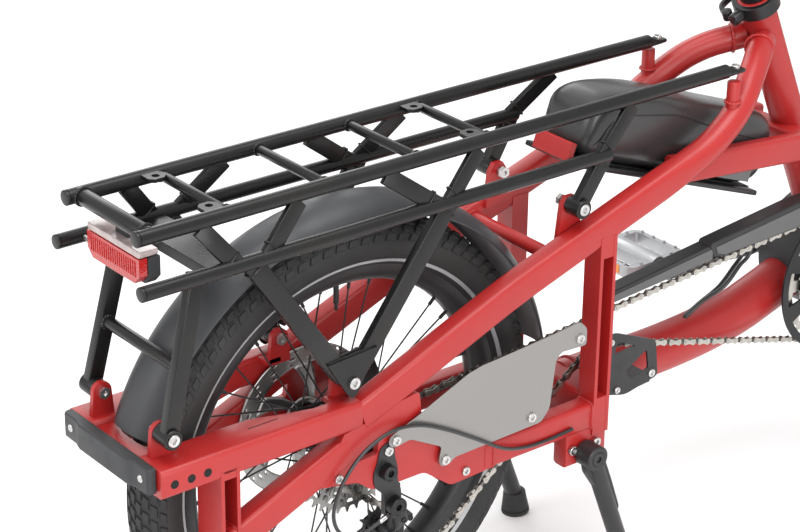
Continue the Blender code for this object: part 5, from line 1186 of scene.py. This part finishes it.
shell_line = np.vstack([[(0.503, 0.3792), (0.506, 0.3822), (0.650, 0.3975)], arc_points(0.127, 104, 30, 33),
                        arc_points(0.106, 30, 104, 33), [(0.660, 0.3640), (0.524, 0.3605), (0.509, 0.3640)]])
face_line = np.vstack([[(0.511, 0.3760), (0.650, 0.3905)], arc_points(0.1205, 104, 32, 33),
                       arc_points(0.1085, 32, 104, 33), [(0.660, 0.3662), (0.528, 0.3628), (0.515, 0.3670)]])
rear_line = [(0.3285, 0.3470), (0.510, 0.3600), (0.510, 0.3795), (0.500, 0.3785), (0.3285, 0.3600)]
make("chain_case_shell", "frame",
     [plate(shell_line, (-0.0610, -0.0385)), block((0.700, 0.722), (-0.0400, -0.0235), (0.3865, 0.3935))],
     black_coat, ["chain_case"], bevel=0.0020)
case_grey = finished("case_grey", (0.085, 0.085, 0.085), (0.105, 0.105, 0.104), (0.40, 0.55), (1000, 0.0001),
                     patch=5)
make("chain_case_rear", "frame", [plate(rear_line, (-0.0592, -0.0390))], black_coat,
     bevel=0.0020)
make("chain_case_face", "frame",
     [plate(face_line, (-0.0620, -0.0604)),
      plate([(0.3290, 0.3476), (0.508, 0.3606), (0.508, 0.3745), (0.3290, 0.3560)], (-0.0602, -0.0588))],
     case_grey, bevel=0.0006)

idler_outline = rounded([(x, 0, z) for x, z in (
    (0.3265, 0.274), (0.3265, 0.252), (0.338, 0.236), (0.372, 0.2265), (0.424, 0.236), (0.418, 0.284),
    (0.352, 0.312), (0.338, 0.308), (0.3265, 0.296), (0.3265, 0.274))], 0.007, 5)[:-1, [0, 2]]
idler_windows = [rounded([(x, 0, z) for x, z in ring], 0.004, 3)[1:, [0, 2]] for ring in (
    [(0.352, 0.284), (0.386, 0.286), (0.356, 0.300), (0.352, 0.284)],
    [(0.372, 0.258), (0.404, 0.276), (0.408, 0.250), (0.378, 0.244), (0.372, 0.258)])]
bracket_parts = [plate(idler_outline, (-0.0645, -0.0617), idler_windows),
                 plate(np.array([(0.386, 0.2278), (0.414, 0.2300), (0.414, 0.2395), (0.386, 0.2380)]),
                       (-0.0620, -0.0302)),
                 tube([(IDLER[0], -0.0672, IDLER[1]), (IDLER[0], -0.0400, IDLER[1])], 0.0040, 24),
                 washer((IDLER[0], -0.0615, IDLER[1]), (0, 1, 0), 0.0074, 0.0100, 0.0040)]
make("idler_plate", "frame", bracket_parts, black_coat, ["idler_bracket"], bevel=0.0006)
make("idler_bolts", "frame",
     [bolt((x, -0.0645, z), (0, -1, 0), radius, 0.0030) for x, z, radius in
      ((*IDLER, 0.0070), (0.345, 0.302, 0.0042), (0.4125, 0.2430, 0.0050), (0.358, 0.2370, 0.0042))], steel)


def socketed(spot, y_range, radius, socket):
    """Round knuckle along y, outer end first, with a stepped rim and a six-sided recess."""
    outer, inner = y_range
    points, faces = lathe([(radius * 0.9, inner), (radius, inner - 0.0012), (radius, outer + 0.0012),
                           (radius - 0.0010, outer), (radius * 0.80, outer), (radius * 0.76, outer + 0.0008),
                           (socket, outer + 0.0008), (socket, outer + 0.0050)], (spot[0], 0, spot[1]),
                          (0, 1, 0), 36)
    rows = points.reshape(8, 36, 3)
    around = np.linspace(0, math.tau, 36, endpoint=False)
    hexagon = np.cos(math.pi / 6) / np.cos((around + math.pi / 6) % (math.pi / 3) - math.pi / 6)
    middle = rows.mean(1, keepdims=True)
    rows[-2:] = middle[-2:] + (rows[-2:] - middle[-2:]) * hexagon[None, :, None]
    return rows.reshape(-1, 3), faces


hanger_line = rounded([(0.0035, 0, 0.2955), (-0.0080, 0, 0.2900), (-0.0110, 0, 0.2740), (-0.0165, 0, 0.2620),
                       (-0.0150, 0, 0.2460), (-0.0020, 0, 0.2330), (0.0000, 0, 0.2060), (0.0220, 0, 0.2060),
                       (0.0215, 0, 0.2330), (0.0160, 0, 0.2460), (0.0165, 0, 0.2620), (0.0120, 0, 0.2760),
                       (0.0120, 0, 0.2920), (0.0035, 0, 0.2955)], 0.006, 4)[:-1, [0, 2]]
make("hanger_plate", "frame",
     [plate(hanger_line, (-0.0884, -0.0866), [circle((0, AXLE_Z), 0.0064, 24)]),
                                            block((0.0004, 0.0216), (-0.0866, -0.0800), (0.206, 0.2390))],
     black_coat, bevel=0.0005)
make("hanger_bolt", "frame", [bolt((0.0030, -0.0884, 0.2850), (0, -1, 0), 0.0058, 0.0030)],
     steel)
mech = [socketed((0.011, 0.217), (-0.0990, -0.0850), 0.0110, 0.0042),
        socketed((0.026, 0.172), (-0.0740, -0.0548), 0.0125, 0.0040),
        bar([(0.0125, -0.0925, 0.2120), (0.0180, -0.0890, 0.1960), (0.0240, -0.0720, 0.1800),
             (0.0265, -0.0660, 0.1750)],
            (0.0110, 0.0150, 0.0160, 0.0130), (0.0170, 0.0190, 0.0190, 0.0160), 0.0035),
        bar([(0.0225, -0.0900, 0.2050), (0.0330, -0.0860, 0.1930), (0.0370, -0.0720, 0.1820)],
            (0.0050, 0.0060, 0.0050), (0.0100, 0.0120, 0.0100), 0.0020),
        tube([(0.0010, -0.0930, 0.2080), (0.0125, -0.0930, 0.2100)], 0.0042, 20)]
mech += [bolt((x, y, z), (0, -1, 0), 0.0034, 0.0022) for x, y, z in
         ((0.0200, -0.0955, 0.1975), (0.0340, -0.0885, 0.1925), (0.0280, -0.0745, 0.1830))]
make("derailleur_links", "frame", mech, anodised, ["derailleur_body"], bevel=0.0006)


def cage_outline():
    """Long plate round both pulley pins with a narrower middle that bows forward."""
    line = [(0.0080, 0.1760), (0.0160, 0.1805), (0.0290, 0.1760), (0.0330, 0.1640), (0.0440, 0.1440),
            (0.0620, 0.1290), (0.0740, 0.1170), (0.0730, 0.1050), (0.0620, 0.0980), (0.0500, 0.1040),
            (0.0380, 0.1250), (0.0180, 0.1480), (0.0080, 0.1640), (0.0080, 0.1760)]
    return rounded([(x, 0, z) for x, z in line], 0.006, 4)[:-1, [0, 2]]


slot = rounded([(x, 0, z) for x, z in ((0.0300, 0.1480), (0.0400, 0.1370), (0.0480, 0.1270), (0.0440, 0.1230),
                                       (0.0340, 0.1350), (0.0260, 0.1440), (0.0300, 0.1480))], 0.003,
               3)[1:, [0, 2]]
cage_parts = [plate(cage_outline(), (-0.0540, -0.0526), [slot]),
              plate(cage_outline(), (-0.0394, -0.0380), [slot])]
cage_parts += [tube([(x, -0.0540, z), (x, -0.0380, z)], 0.0032, 20) for x, z in (GUIDE, TENSION)]
cage_parts += [bolt((x, -0.0540, z), (0, -1, 0), 0.0046, 0.0016) for x, z in (GUIDE, TENSION)]
make("pulley_cage", "cage", cage_parts, anodised, ["derailleur_cage"], bevel=0.0003)

# ---------- guard plate and shift cable
# Brushed stainless sheet over the chain beside the wheel, on four screws, and the black housing
# of the shift cable, which rides over it from the chainstay to the derailleur.
guard_line = rounded([(x, 0, z) for x, z in (
    (0.150, 0.3508), (0.129, 0.3495), (0.110, 0.3455), (0.037, 0.3150), (0.012, 0.3062), (0.002, 0.3020),
    (0.001, 0.2925), (0.010, 0.2880), (0.030, 0.2915), (0.074, 0.2680), (0.0700, 0.2520), (0.0740, 0.2430),
    (0.0850, 0.2430), (0.092, 0.2490), (0.217, 0.2520), (0.229, 0.2660), (0.236, 0.3230), (0.243, 0.3310),
    (0.281, 0.3290), (0.281, 0.3500), (0.270, 0.3610), (0.234, 0.3570), (0.150, 0.3508))], 0.005,
                     4)[:-1, [0, 2]]
sheet = finished("brushed_guard", (0.30, 0.29, 0.28), (0.285, 0.275, 0.265), (0.34, 0.44), (26, 0.00006),
                 metallic=0.85, patch=3, stretch=(30, 1.0, 1.0))
make("guard_sheet", "frame", [plate(guard_line, (-0.0920, -0.0906))], sheet, ["guard_plate"],
     bevel=0.0003)
make("guard_screws", "frame",
     [bolt((x, -0.0920, z), (0, -1, 0), 0.0058, 0.0030) for x, z in
      ((0.0105, 0.2965), (0.079, 0.2505), (0.202, 0.263), (0.2705, 0.340))]
     + [tube([(x, -0.0908, z), (x, -0.0866, z)], 0.0052, 20) for x, z in ((0.0105, 0.2965), (0.079, 0.2505))],
     steel)
cable_line = smooth([(0.268, -0.0896, 0.2260), (0.230, -0.0896, 0.2240), (0.195, -0.0910, 0.2270),
                     (0.160, -0.0950, 0.2390), (0.120, -0.0965, 0.2640), (0.080, -0.0965, 0.2880),
                     (0.040, -0.0960, 0.3070), (0.002, -0.0960, 0.3120), (-0.036, -0.0955, 0.2980),
                     (-0.064, -0.0950, 0.2680), (-0.074, -0.0945, 0.2360), (-0.064, -0.0940, 0.2100),
                     (-0.040, -0.0935, 0.1990), (-0.0040, -0.0930, 0.2080)], 8)
housing = finished("cable_housing", (0.010, 0.010, 0.010), (0.016, 0.016, 0.016), (0.30, 0.42),
                   (1500, 0.00004), coat=0.3)
make("shift_housing", "frame", [tube(cable_line, 0.0021, 14)], housing, ["shift_cable"])
make("shift_ferrule", "frame",
     [tube([(-0.0120, -0.0932, 0.2055), (-0.0020, -0.0930, 0.2085)], 0.0027, 20)], steel)

# ---------- axles
# Turned steel through axles, blackened, with a hex socket in the right cap; they hold both wheels.
for label, x, body, right_end, left_end in (("rear", 0.0, "frame", 0.0990, 0.0930),
                                            ("front", FRONT_X, "steering", 0.0880, 0.0870)):
    face = {"rear": 0.0870, "front": 0.0803}[label]
    cap = [socketed((x, AXLE_Z), (-right_end, -face), 0.0092, 0.0042),
           tube([(x, -face, AXLE_Z), (x, left_end, AXLE_Z)], 0.0060, 24),
           lathe([(0.0060, face), (0.0100, face), (0.0100, left_end), (0.0060, left_end)], (x, 0, AXLE_Z),
                 (0, 1, 0), 6, closed=True)]
    make(label + "_axle_turned", body, cap, anodised, [label + "_axle"], bevel=0.0004)

# ---------- battery
# Moulded pack with a rounded back, a recessed seam along each side and a paler lower front panel,
# on a flat steel tray with a stop plate between the side tubes.
SLOPE = math.radians(20)


def on_slope(part):
    """A part written along the battery's own slope, carried to its place."""
    points, faces = part
    x, y, z = points[:, 0], points[:, 1], points[:, 2]
    return np.stack([0.468 + x * math.cos(SLOPE) + z * math.sin(SLOPE), y,
                     0.517 - x * math.sin(SLOPE) + z * math.cos(SLOPE)], -1), faces


def hull(x_range, half_width, bottom, top, power=4.0, rows=33, ends=0.045, tail_drop=0.0):
    """Soft box: superellipse sections whose size falls away towards both ends, and whose top
    slopes down over the rear third by tail_drop."""
    along = np.linspace(0, 1, rows)
    x = x_range[0] + (x_range[1] - x_range[0]) * (1 - np.cos(along * math.pi)) / 2
    edge = np.minimum(x - x_range[0], x_range[1] - x) / ends
    grow = (1 - np.clip(1 - edge, 0, 1) ** 3.2) ** (1 / 3.2)
    around = np.linspace(0, math.tau, 56, endpoint=False)
    cos, sin = np.cos(around), np.sin(around)
    y = half_width * np.sign(cos) * np.abs(cos) ** (2 / power)
    z = np.sign(sin) * np.abs(sin) ** (2 / power)
    middle, half = (bottom + top) / 2, (top - bottom) / 2
    fall = tail_drop * np.clip(1 - (x - x_range[0]) / (0.36 * (x_range[1] - x_range[0])), 0, 1) ** 2
    height = middle + half * z[None] * (0.35 + 0.65 * grow[:, None]) - fall[:, None] * (z[None] > 0) * z[None]
    grid = np.stack([np.broadcast_to(x[:, None], height.shape), y[None] * (0.55 + 0.45 * grow[:, None]),
                     height], -1)
    faces = quads(rows, 56)
    return grid.reshape(-1, 3), faces + [list(range(56)), list(range((rows - 1) * 56, rows * 56))]


pack_gloss = finished("pack_plastic", (0.030, 0.030, 0.031), (0.040, 0.040, 0.041), (0.26, 0.36),
                      (900, 0.00006), patch=4, coat=0.15)
make("battery_hull", "frame",
     [on_slope(hull((-0.154, 0.154), 0.0440, -0.0458, 0.0458, 3.6, tail_drop=0.020))], pack_gloss,
     ["battery"])
seam = rounded([(-0.140, 0, -0.030), (-0.126, 0, 0.012), (-0.020, 0, 0.026), (0.060, 0, 0.016),
                (0.146, 0, 0.014)],
               0.02, 8)
seam_parts = [on_slope(bar(seam + (0, side * 0.0436, 0), 0.0014, 0.0016, 0.0004, 0.0003)) for side in (-1, 1)]
seam_parts.append(on_slope(block((-0.1540, 0.1500), (-0.0300, 0.0300), (-0.0464, -0.0452))))
make("battery_seams", "frame", seam_parts, rubber)
panel_grey = finished("panel_grey", (0.10, 0.10, 0.102), (0.12, 0.12, 0.122), (0.36, 0.48), (900, 0.00008),
                      patch=4)
make("battery_panel", "frame",
     [on_slope(block((0.020, 0.128), sorted((side * 0.0432, side * 0.0446)), (-0.0380, 0.0040)))
      for side in (-1, 1)],
     panel_grey, bevel=0.0006)
tray = [on_slope(bar([(-0.160, 0, -0.0498), (0, 0, -0.0498), (0.150, 0, -0.0498)], 0.0905, 0.0062, 0.0020))]
make("battery_tray", "frame", tray, black_coat, ["battery_cradle"], bevel=0.0015)
stop_plate = [on_slope(block((-0.1640, -0.1558), (-0.030, 0.030), (-0.0510, -0.0290)))]
make("battery_stop", "frame", stop_plate, red_paint, bevel=0.0015)
wires = [tube(smooth([(0.606, y, 0.352), (0.5987, y, 0.332), (0.5843, y, 0.3223 - drop),
                      (0.5602, y, 0.3018 - drop), (0.5400, y * 0.55, 0.282 - drop), (0.5200, y * 0.3, 0.262)],
                     8), 0.0026, 12)
         for y, drop in ((-0.033, 0.0), (-0.024, 0.004))]
make("battery_wires", "frame", wires, housing)

# ---------- stand
# Black double stand: two steel legs on one shaft, with cast knuckles and moulded rubber feet.
HINGE, FOOT, LEG_Y = (0.288, 0.190), (0.356, 0.016), 0.101
stand_parts = [tube([(HINGE[0], -0.1110, HINGE[1]), (HINGE[0], 0.1110, HINGE[1])], 0.0091, 32)]
for side in (-1, 1):
    stand_parts += [tube([(HINGE[0], side * LEG_Y, HINGE[1]), (FOOT[0], side * LEG_Y, FOOT[1])], 0.0105, 32),
                    lathe([(0.0090, 0.0884), (0.0135, 0.0884), (0.0150, 0.0900), (0.0150, 0.1120),
                           (0.0135, 0.1134), (0.0090, 0.1134)], (HINGE[0], 0, HINGE[1]), (0, side, 0), 40,
                          closed=True),
                    bolt((HINGE[0], side * 0.1110, HINGE[1]), (0, side, 0), 0.0086, 0.0034)]
    web = rounded([(0.276, 0, 0.190), (0.276, 0, 0.200), (0.290, 0, 0.2035), (0.300, 0, 0.196),
                   (0.318, 0, 0.150), (0.333, 0, 0.108), (0.322, 0, 0.100), (0.302, 0, 0.136),
                   (0.278, 0, 0.172), (0.276, 0, 0.190)],
                  0.006, 4)[:-1, [0, 2]]
    stand_parts.append(plate(web, sorted((side * 0.0965, side * 0.1055))))
make("stand_legs", "stand_shaft", stand_parts, black_coat, ["stand"])
foot_parts = [lathe([(0.0162, 0.0), (0.0175, 0.0016), (0.0172, 0.0060), (0.0160, 0.0064), (0.0168, 0.0080),
                     (0.0158, 0.0140), (0.0146, 0.0220), (0.0138, 0.0290), (0.0124, 0.0306)],
                    (FOOT[0] - 0.0005, side * LEG_Y, 0.0), (-0.10, 0, 1), 40) for side in (-1, 1)]
for points, _ in foot_parts:
    points[:, 2] = np.maximum(points[:, 2], 0.0)
make("stand_feet", "stand_shaft", foot_parts, rubber)

# ---------- brake calipers
# Forged two-piece bodies across the rotors, with pad slots, mounting screws and a hose stub.


def caliper(label, x, lean, rotor_y, span, body):
    """Half bodies on both sides of the rotor's slot, joined by a bridge outside its rim."""
    angle = math.radians(lean)
    out = np.array([math.cos(angle), 0, math.sin(angle)])
    along = np.array([-math.sin(angle), 0, math.cos(angle)])
    centre = np.array([x, 0, AXLE_Z]) + 0.082 * out

    def placed(part):
        """The part turned from the caliper's own axes to its place on the rotor."""
        points, faces = part
        return centre + points[:, :1] * out + points[:, 1:2] * (0, 1, 0) + points[:, 2:] * along, faces

    low, high = rotor_y + span[0], rotor_y + span[1]
    halves = [placed(block((-0.0165, 0.0170), (low, rotor_y - 0.0024), (-0.0260, 0.0260))),
              placed(block((-0.0165, 0.0170), (rotor_y + 0.0024, high), (-0.0260, 0.0260))),
              placed(block((0.0128, 0.0178), (low + 0.001, high - 0.001), (-0.0240, 0.0240)))]
    make(label + "_caliper_body", body, halves, anodised, [label + "_caliper"], bevel=0.0032)
    screws = []
    for reach in (-0.019, 0.019):
        points, faces = bolt((0.001, 0, reach), (0, 1, 0), 0.0042, 0.0016)
        screws.append(placed((points + (0, high - 0.0006, 0), faces)))
    points, faces = lathe([(0.0100, 0), (0.0098, 0.0010), (0.0052, 0.0010), (0.0048, 0.0004)], (0, 0, 0),
                          (0, 1, 0), 32)
    screws.append(placed((points + (-0.002, high - 0.0002, 0), faces)))
    make(label + "_caliper_screws", body, screws, steel)


caliper("rear", 0.0, 22, 0.0595, (-0.0200, 0.0125), "frame")
caliper("front", FRONT_X, 150, 0.0400, (-0.0180, 0.0105), "steering")

# ---------- seat
# Alloy post with engraved height marks, its two-bolt head, the collar with its cam lever, and a
# padded saddle with a moulded edge, stuffed and inflated as cloth.
SEAT_RUN = LEAN / math.hypot(LEAN[0], LEAN[2])
BEHIND = np.array([-SEAT_RUN[2], 0, SEAT_RUN[0]])


def on_seat(reach, back=0.0):
    """A place along the seat tube's axis from its top; back is behind the axis."""
    return SEAT_TOP + SEAT_RUN * reach + BEHIND * back


post_top = on_seat(0.215)
post_parts = [tube([on_seat(-0.150), on_seat(0.0), on_seat(0.205)], 0.0168, 48)]
head = [bar([post_top + (-0.025, 0, 0.010), post_top + (0.025, 0, 0.010)], 0.036, 0.012, 0.004),
        bar([post_top + (-0.024, 0, -0.006), post_top + (0.024, 0, -0.006)], 0.030, 0.014, 0.005),
        tube([post_top + (0, -0.0215, 0.004), post_top + (0, 0.0215, 0.004)], 0.0105, 32)]
make("seatpost_tube", "post", post_parts + head, anodised, ["seatpost"])
marks = []
for number in range(9):
    place = on_seat(0.020 + number * 0.015)
    marks.append(lathe([(0.01675, -0.0003), (0.01695, -0.0003), (0.01695, 0.0003), (0.01675, 0.0003)],
                       place, SEAT_RUN, 48, closed=True))
marks += [bolt(post_top + (dx, 0, -0.0125), (0, 0, -1), 0.0045, 0.0040) for dx in (-0.017, 0.017)]
marks += [tube([post_top + (-0.060, side * 0.022, 0.016), post_top + (0.062, side * 0.020, 0.016)], 0.0034,
               16)
          for side in (-1, 1)]
make("seatpost_marks", "post", marks, steel)
collar = [lathe([(0.02135, -0.0180), (0.0268, -0.0180), (0.0275, -0.0172), (0.0275, -0.0012),
                 (0.0268, -0.0005), (0.02135, -0.0005)], SEAT_TOP, SEAT_RUN, 64, closed=True),
          tube([on_seat(-0.009, 0.0262), on_seat(-0.009, 0.0405)], 0.0074, 28)]
make("seat_collar", "frame", collar, anodised, ["seat_clamp"])
middle = on_seat(-0.009)
pivot = middle + BEHIND * 0.034 + (0, 0.0145, 0)
lever = rounded([pivot, middle + BEHIND * 0.028 + (0, 0.034, 0), middle - BEHIND * 0.020 + (0, 0.036, 0)],
                0.012, 6)
make("collar_lever", "quick_release",
     [bar(lever, 0.0056, 0.0090, 0.0024, 0.0016, tuple(BEHIND + (0, 0.35, 0))),
      tube([pivot - SEAT_RUN * 0.0060, pivot + SEAT_RUN * 0.0060], 0.0062, 28)], anodised, ["clamp_lever"])


def saddle_skin(swell=1.0, rows=44, around=56):
    """Padded saddle: wide wings run into a slim nose; the top is cupped along its middle."""
    share = np.linspace(0.012, 0.988, rows)[:, None]
    x = post_top[0] - 0.130 + 0.268 * share
    half = 0.081 * np.exp(-(np.clip(share - 0.16, 0, None) / 0.36) ** 2 * 1.9) + 0.016 * share + 0.002
    half = half * np.sin(np.pi * np.clip(share, 0.02, 0.98)) ** 0.34
    angle = np.linspace(0, math.tau, around, endpoint=False)[None]
    cos, sin = np.cos(angle), np.sin(angle)
    y = half * swell * np.sign(cos) * np.abs(cos) ** 0.86
    ease = np.sin(np.pi * np.clip(share, 0.02, 0.98)) ** 0.4
    height = (0.0150 + 0.0030 * (1 - share)) * ease
    cup = 0.0055 * np.exp(-(y / 0.012) ** 2) * np.clip(sin, 0, 1) * ease
    z = (post_top[2] + 0.0505 + 0.005 * (1 - share) ** 2
         + swell * height * np.where(sin > 0, 1.0, 1.12) * sin - cup)
    z = z + 0.006 * np.clip(share - 0.75, 0, 1)
    grid = np.stack(np.broadcast_arrays(x, y, z), -1).reshape(-1, 3)
    faces = quads(rows, around)
    return grid, faces + [list(range(around)), list(range((rows - 1) * around, rows * around))]


saddle_cloth = finished("saddle_cover", (0.016, 0.016, 0.017), (0.023, 0.023, 0.024), (0.50, 0.68),
                        (2600, 0.00022))
saddle_cover = make("saddle_cover", "post", [saddle_skin(0.94)], saddle_cloth, ["saddle"])
remesh = saddle_cover.modifiers.new("even", "REMESH")
remesh.mode = "VOXEL"
remesh.voxel_size = 0.005
cloth = saddle_cover.modifiers.new("stuffing", "CLOTH")
cloth.settings.quality = 4
cloth.settings.use_pressure = True
cloth.settings.uniform_pressure_force = 3.0
cloth.settings.effector_weights.gravity = 0.0
cloth.settings.tension_stiffness = 40
cloth.settings.bending_stiffness = 2.0
cloth.point_cache.frame_start = 1
cloth.point_cache.frame_end = 14
start_points = None
for moment in range(1, 15):
    scene.frame_set(moment)
    graph = bpy.context.evaluated_depsgraph_get()
    swollen = bpy.data.meshes.new_from_object(saddle_cover.evaluated_get(graph))
    coordinates = np.empty(len(swollen.vertices) * 3)
    swollen.vertices.foreach_get("co", coordinates)
    coordinates = coordinates.reshape(-1, 3)
    if start_points is None:
        start_points = coordinates
drift = coordinates - start_points
size = np.linalg.norm(drift, axis=1, keepdims=True)
coordinates = start_points + drift * np.minimum(1.0, 0.0035 / np.maximum(size, 1e-9))
swollen.vertices.foreach_set("co", coordinates.ravel())
swollen.polygons.foreach_set("use_smooth", np.ones(len(swollen.polygons), dtype=bool))
saddle_cover.modifiers.clear()
saddle_cover.data = swollen
scene.frame_set(1)
softening = saddle_cover.modifiers.new("softening", "SUBSURF")
softening.levels = 1
softening.render_levels = 1
grid, faces = saddle_skin(0.90, 30, 48)
grid[:, 2] = np.minimum(grid[:, 2], post_top[2] + 0.0420) - 0.0035
make("saddle_shell", "post", [(grid, faces)], moulded)

# ---------- fork, stem and bar
# Painted fork with tapered blades and welded dropouts, a tall alloy stem with a four-bolt face
# plate, and a swept bar.


def on_head(reach):
    """A place along the steering axis, counted upwards from near the middle of the head tube."""
    return STEER + STEER_AXIS * reach


crown = on_head(-0.095)
fork_line = rounded([(FRONT_X, -0.0660, AXLE_Z), (crown[0] + 0.004, -0.0660, crown[2]),
                     (crown[0] + 0.004, 0.0660, crown[2]), (FRONT_X, 0.0660, AXLE_Z)], 0.035, 10)
share = np.abs(np.linspace(-1, 1, len(fork_line)))
fork_parts = [tube(fork_line, 0.0135 - 0.0030 * np.clip(share - 0.80, 0, 1) / 0.2, 32),
              tube([on_head(-0.100), on_head(0.125)], 0.0140, 32),
              lathe([(0.0140, -0.1000), (0.0205, -0.1000), (0.0240, -0.0930), (0.0240, -0.0792),
                     (0.0140, -0.0792)],
                    STEER, STEER_AXIS, 48, closed=True)]
for side in (-1, 1):
    fork_parts.append(lathe([(0.0064, 0.0556), (0.0140, 0.0556), (0.0140, 0.0795), (0.0064, 0.0795)],
                            (FRONT_X, 0, AXLE_Z), (0, side, 0), 40, closed=True))
make("fork_blades", "steering", fork_parts, red_paint, ["fork"])
bar_middle = np.array([0.978, 0, 1.062])
stem_top = on_head(0.425)
stem_parts = [tube([on_head(0.0900), on_head(0.300), on_head(0.400), stem_top * 0.35 + on_head(0.41) * 0.65],
                   0.0182, 40),
              lathe([(0.0146, 0.0895), (0.0225, 0.0895), (0.0225, 0.1275), (0.0190, 0.1290),
                     (0.0146, 0.1290)],
                    STEER, STEER_AXIS, 48, closed=True),
              lathe([(0.0129, -0.0260), (0.0205, -0.0260), (0.0215, -0.0250), (0.0215, 0.0250),
                     (0.0205, 0.0260), (0.0129, 0.0260)], bar_middle, (0, 1, 0), 48, closed=True)]
make("stem_body", "steering", stem_parts, anodised, ["stem"])
stem_bolts = [bolt(bar_middle + (-0.0205, y, z), (-1, 0, 0), 0.0038, 0.0024)
              for y in (-0.019, 0.019) for z in (-0.008, 0.008)]
stem_bolts += [bolt(on_head(reach) + (-0.0215, 0, -0.0080), (-1, 0, -0.36), 0.0042, 0.0030)
               for reach in (0.100, 0.120)]
make("stem_bolts", "steering", stem_bolts, steel)
half = np.array([(0.978, 0.0, 1.062), (0.978, 0.055, 1.062), (0.962, 0.140, 1.100), (0.932, 0.200, 1.104),
                 (0.884, 0.330, 1.100)])
bar_path = rounded(np.vstack([(half * (1, -1, 1))[:0:-1], half[1:]]), 0.045, 8)
make("bar_tube", "steering", [tube(bar_path, 0.0125, 32)], anodised, ["handlebar"])


def beside_bar(side, share, forward=0.0, up=0.0):
    """A place on the straight end of the bar, a share of its length out, then moved forward and up."""
    spot = half[-2] + (half[-1] - half[-2]) * share
    return np.array([spot[0] + forward, side * spot[1], spot[2] + up])


for label, side in (("right", -1), ("left", 1)):
    start, stop = beside_bar(side, 0.34), beside_bar(side, 1.030)
    run = unit(stop - start)
    length = np.linalg.norm(stop - start)
    profile = [(0.01285, 0.0), (0.0182, 0.0), (0.0188, 0.0015), (0.0182, 0.0045)]
    for number in range(16):
        base = 0.008 + number * (length - 0.020) / 16
        profile += [(0.0160, base), (0.0164, base + 0.0010), (0.0164, base + 0.0034), (0.0160, base + 0.0044)]
    profile += [(0.0172, length - 0.008), (0.0176, length - 0.002), (0.0160, length), (0.0020, length),
                (0.0020, length - 0.0015), (0.01285, length - 0.0015)]
    make("grip_" + label + "_ribbed", "steering", [lathe(profile, start, run, 44, closed=True)],
         rubber, ["grip_" + label])
    clamp = [lathe([(0.0129, 0), (0.0178, 0), (0.0185, 0.001), (0.0185, 0.0155), (0.0178, 0.0165),
                    (0.0129, 0.0165)],
                   beside_bar(side, 0.10), run, 44, closed=True),
             tube([beside_bar(side, -0.10, 0.026), beside_bar(side, 0.05, 0.026),
                   beside_bar(side, 0.20, 0.026)],
                  (0.0095, 0.0105, 0.0100), 32, 0.0030),
             tube([beside_bar(side, 0.16, 0.0150), beside_bar(side, 0.16, 0.028)], 0.0082, 24)]
    if side < 0:
        clamp.append(tube([beside_bar(side, 0.16, 0.0, -0.0175), beside_bar(side, 0.16, 0.004, -0.034)],
                          0.0110, 28, 0.002))
    make("brake_body_" + label, "steering", clamp, anodised, ["brake_clamp_" + label])
    hinge = beside_bar(side, 0.30, 0.030)
    blade = rounded([hinge, beside_bar(side, 0.42, 0.046), beside_bar(side, 0.74, 0.052),
                     beside_bar(side, 1.0, 0.060)], 0.03, 8)
    make("brake_blade_" + label, label + "_lever",
         [bar(blade, 0.0100, 0.0078, 0.0030, 0.0022, (0, 0, 1)),
          tube([hinge - (0, 0, 0.0075), hinge + (0, 0, 0.0075)], 0.0068, 28)], alloy,
         ["brake_lever_" + label])
thumb = beside_bar(-1, 0.16, 0.004, -0.0385)
make("thumb_paddle", "trigger",
     [bar([thumb + (0.0070, 0, 0), thumb + (-0.012, 0.0016, 0), thumb + (-0.0355, 0.0045, 0)],
          (0.0140, 0.0130, 0.0110), 0.0029, 0.0013, 0.0012),
      lathe([(0.0020, 0.0012), (0.0068, 0.0012), (0.0064, 0.0022), (0.0020, 0.0026)], thumb, (0, 0, -1), 28)],
     anodised, ["shift_trigger"])

# ---------- headlight
# Turned black can with a rim and a domed clear lens.
lamp_at = on_head(0.215) + (0.030, 0, 0)
make("lamp_can", "steering",
     [lathe([(0.0020, -0.004), (0.0130, -0.004), (0.0170, -0.001), (0.0250, 0.011), (0.0260, 0.014),
             (0.0260, 0.0340), (0.0250, 0.0360), (0.0226, 0.0360), (0.0222, 0.0320), (0.0020, 0.0320)],
            lamp_at, (1, 0, 0), 56),
      block((lamp_at[0] - 0.0140, lamp_at[0] - 0.0020), (-0.0100, 0.0100),
            (lamp_at[2] - 0.0120, lamp_at[2] + 0.0120))],
     moulded, ["headlight"])
make("lamp_lens", "steering",
     [lathe([(0.0220, 0.0324), (0.0218, 0.0345), (0.0190, 0.0372), (0.0130, 0.0390), (0.0060, 0.0398),
             (0.0010, 0.0400)],
            lamp_at, (1, 0, 0), 48)], clear_strip)
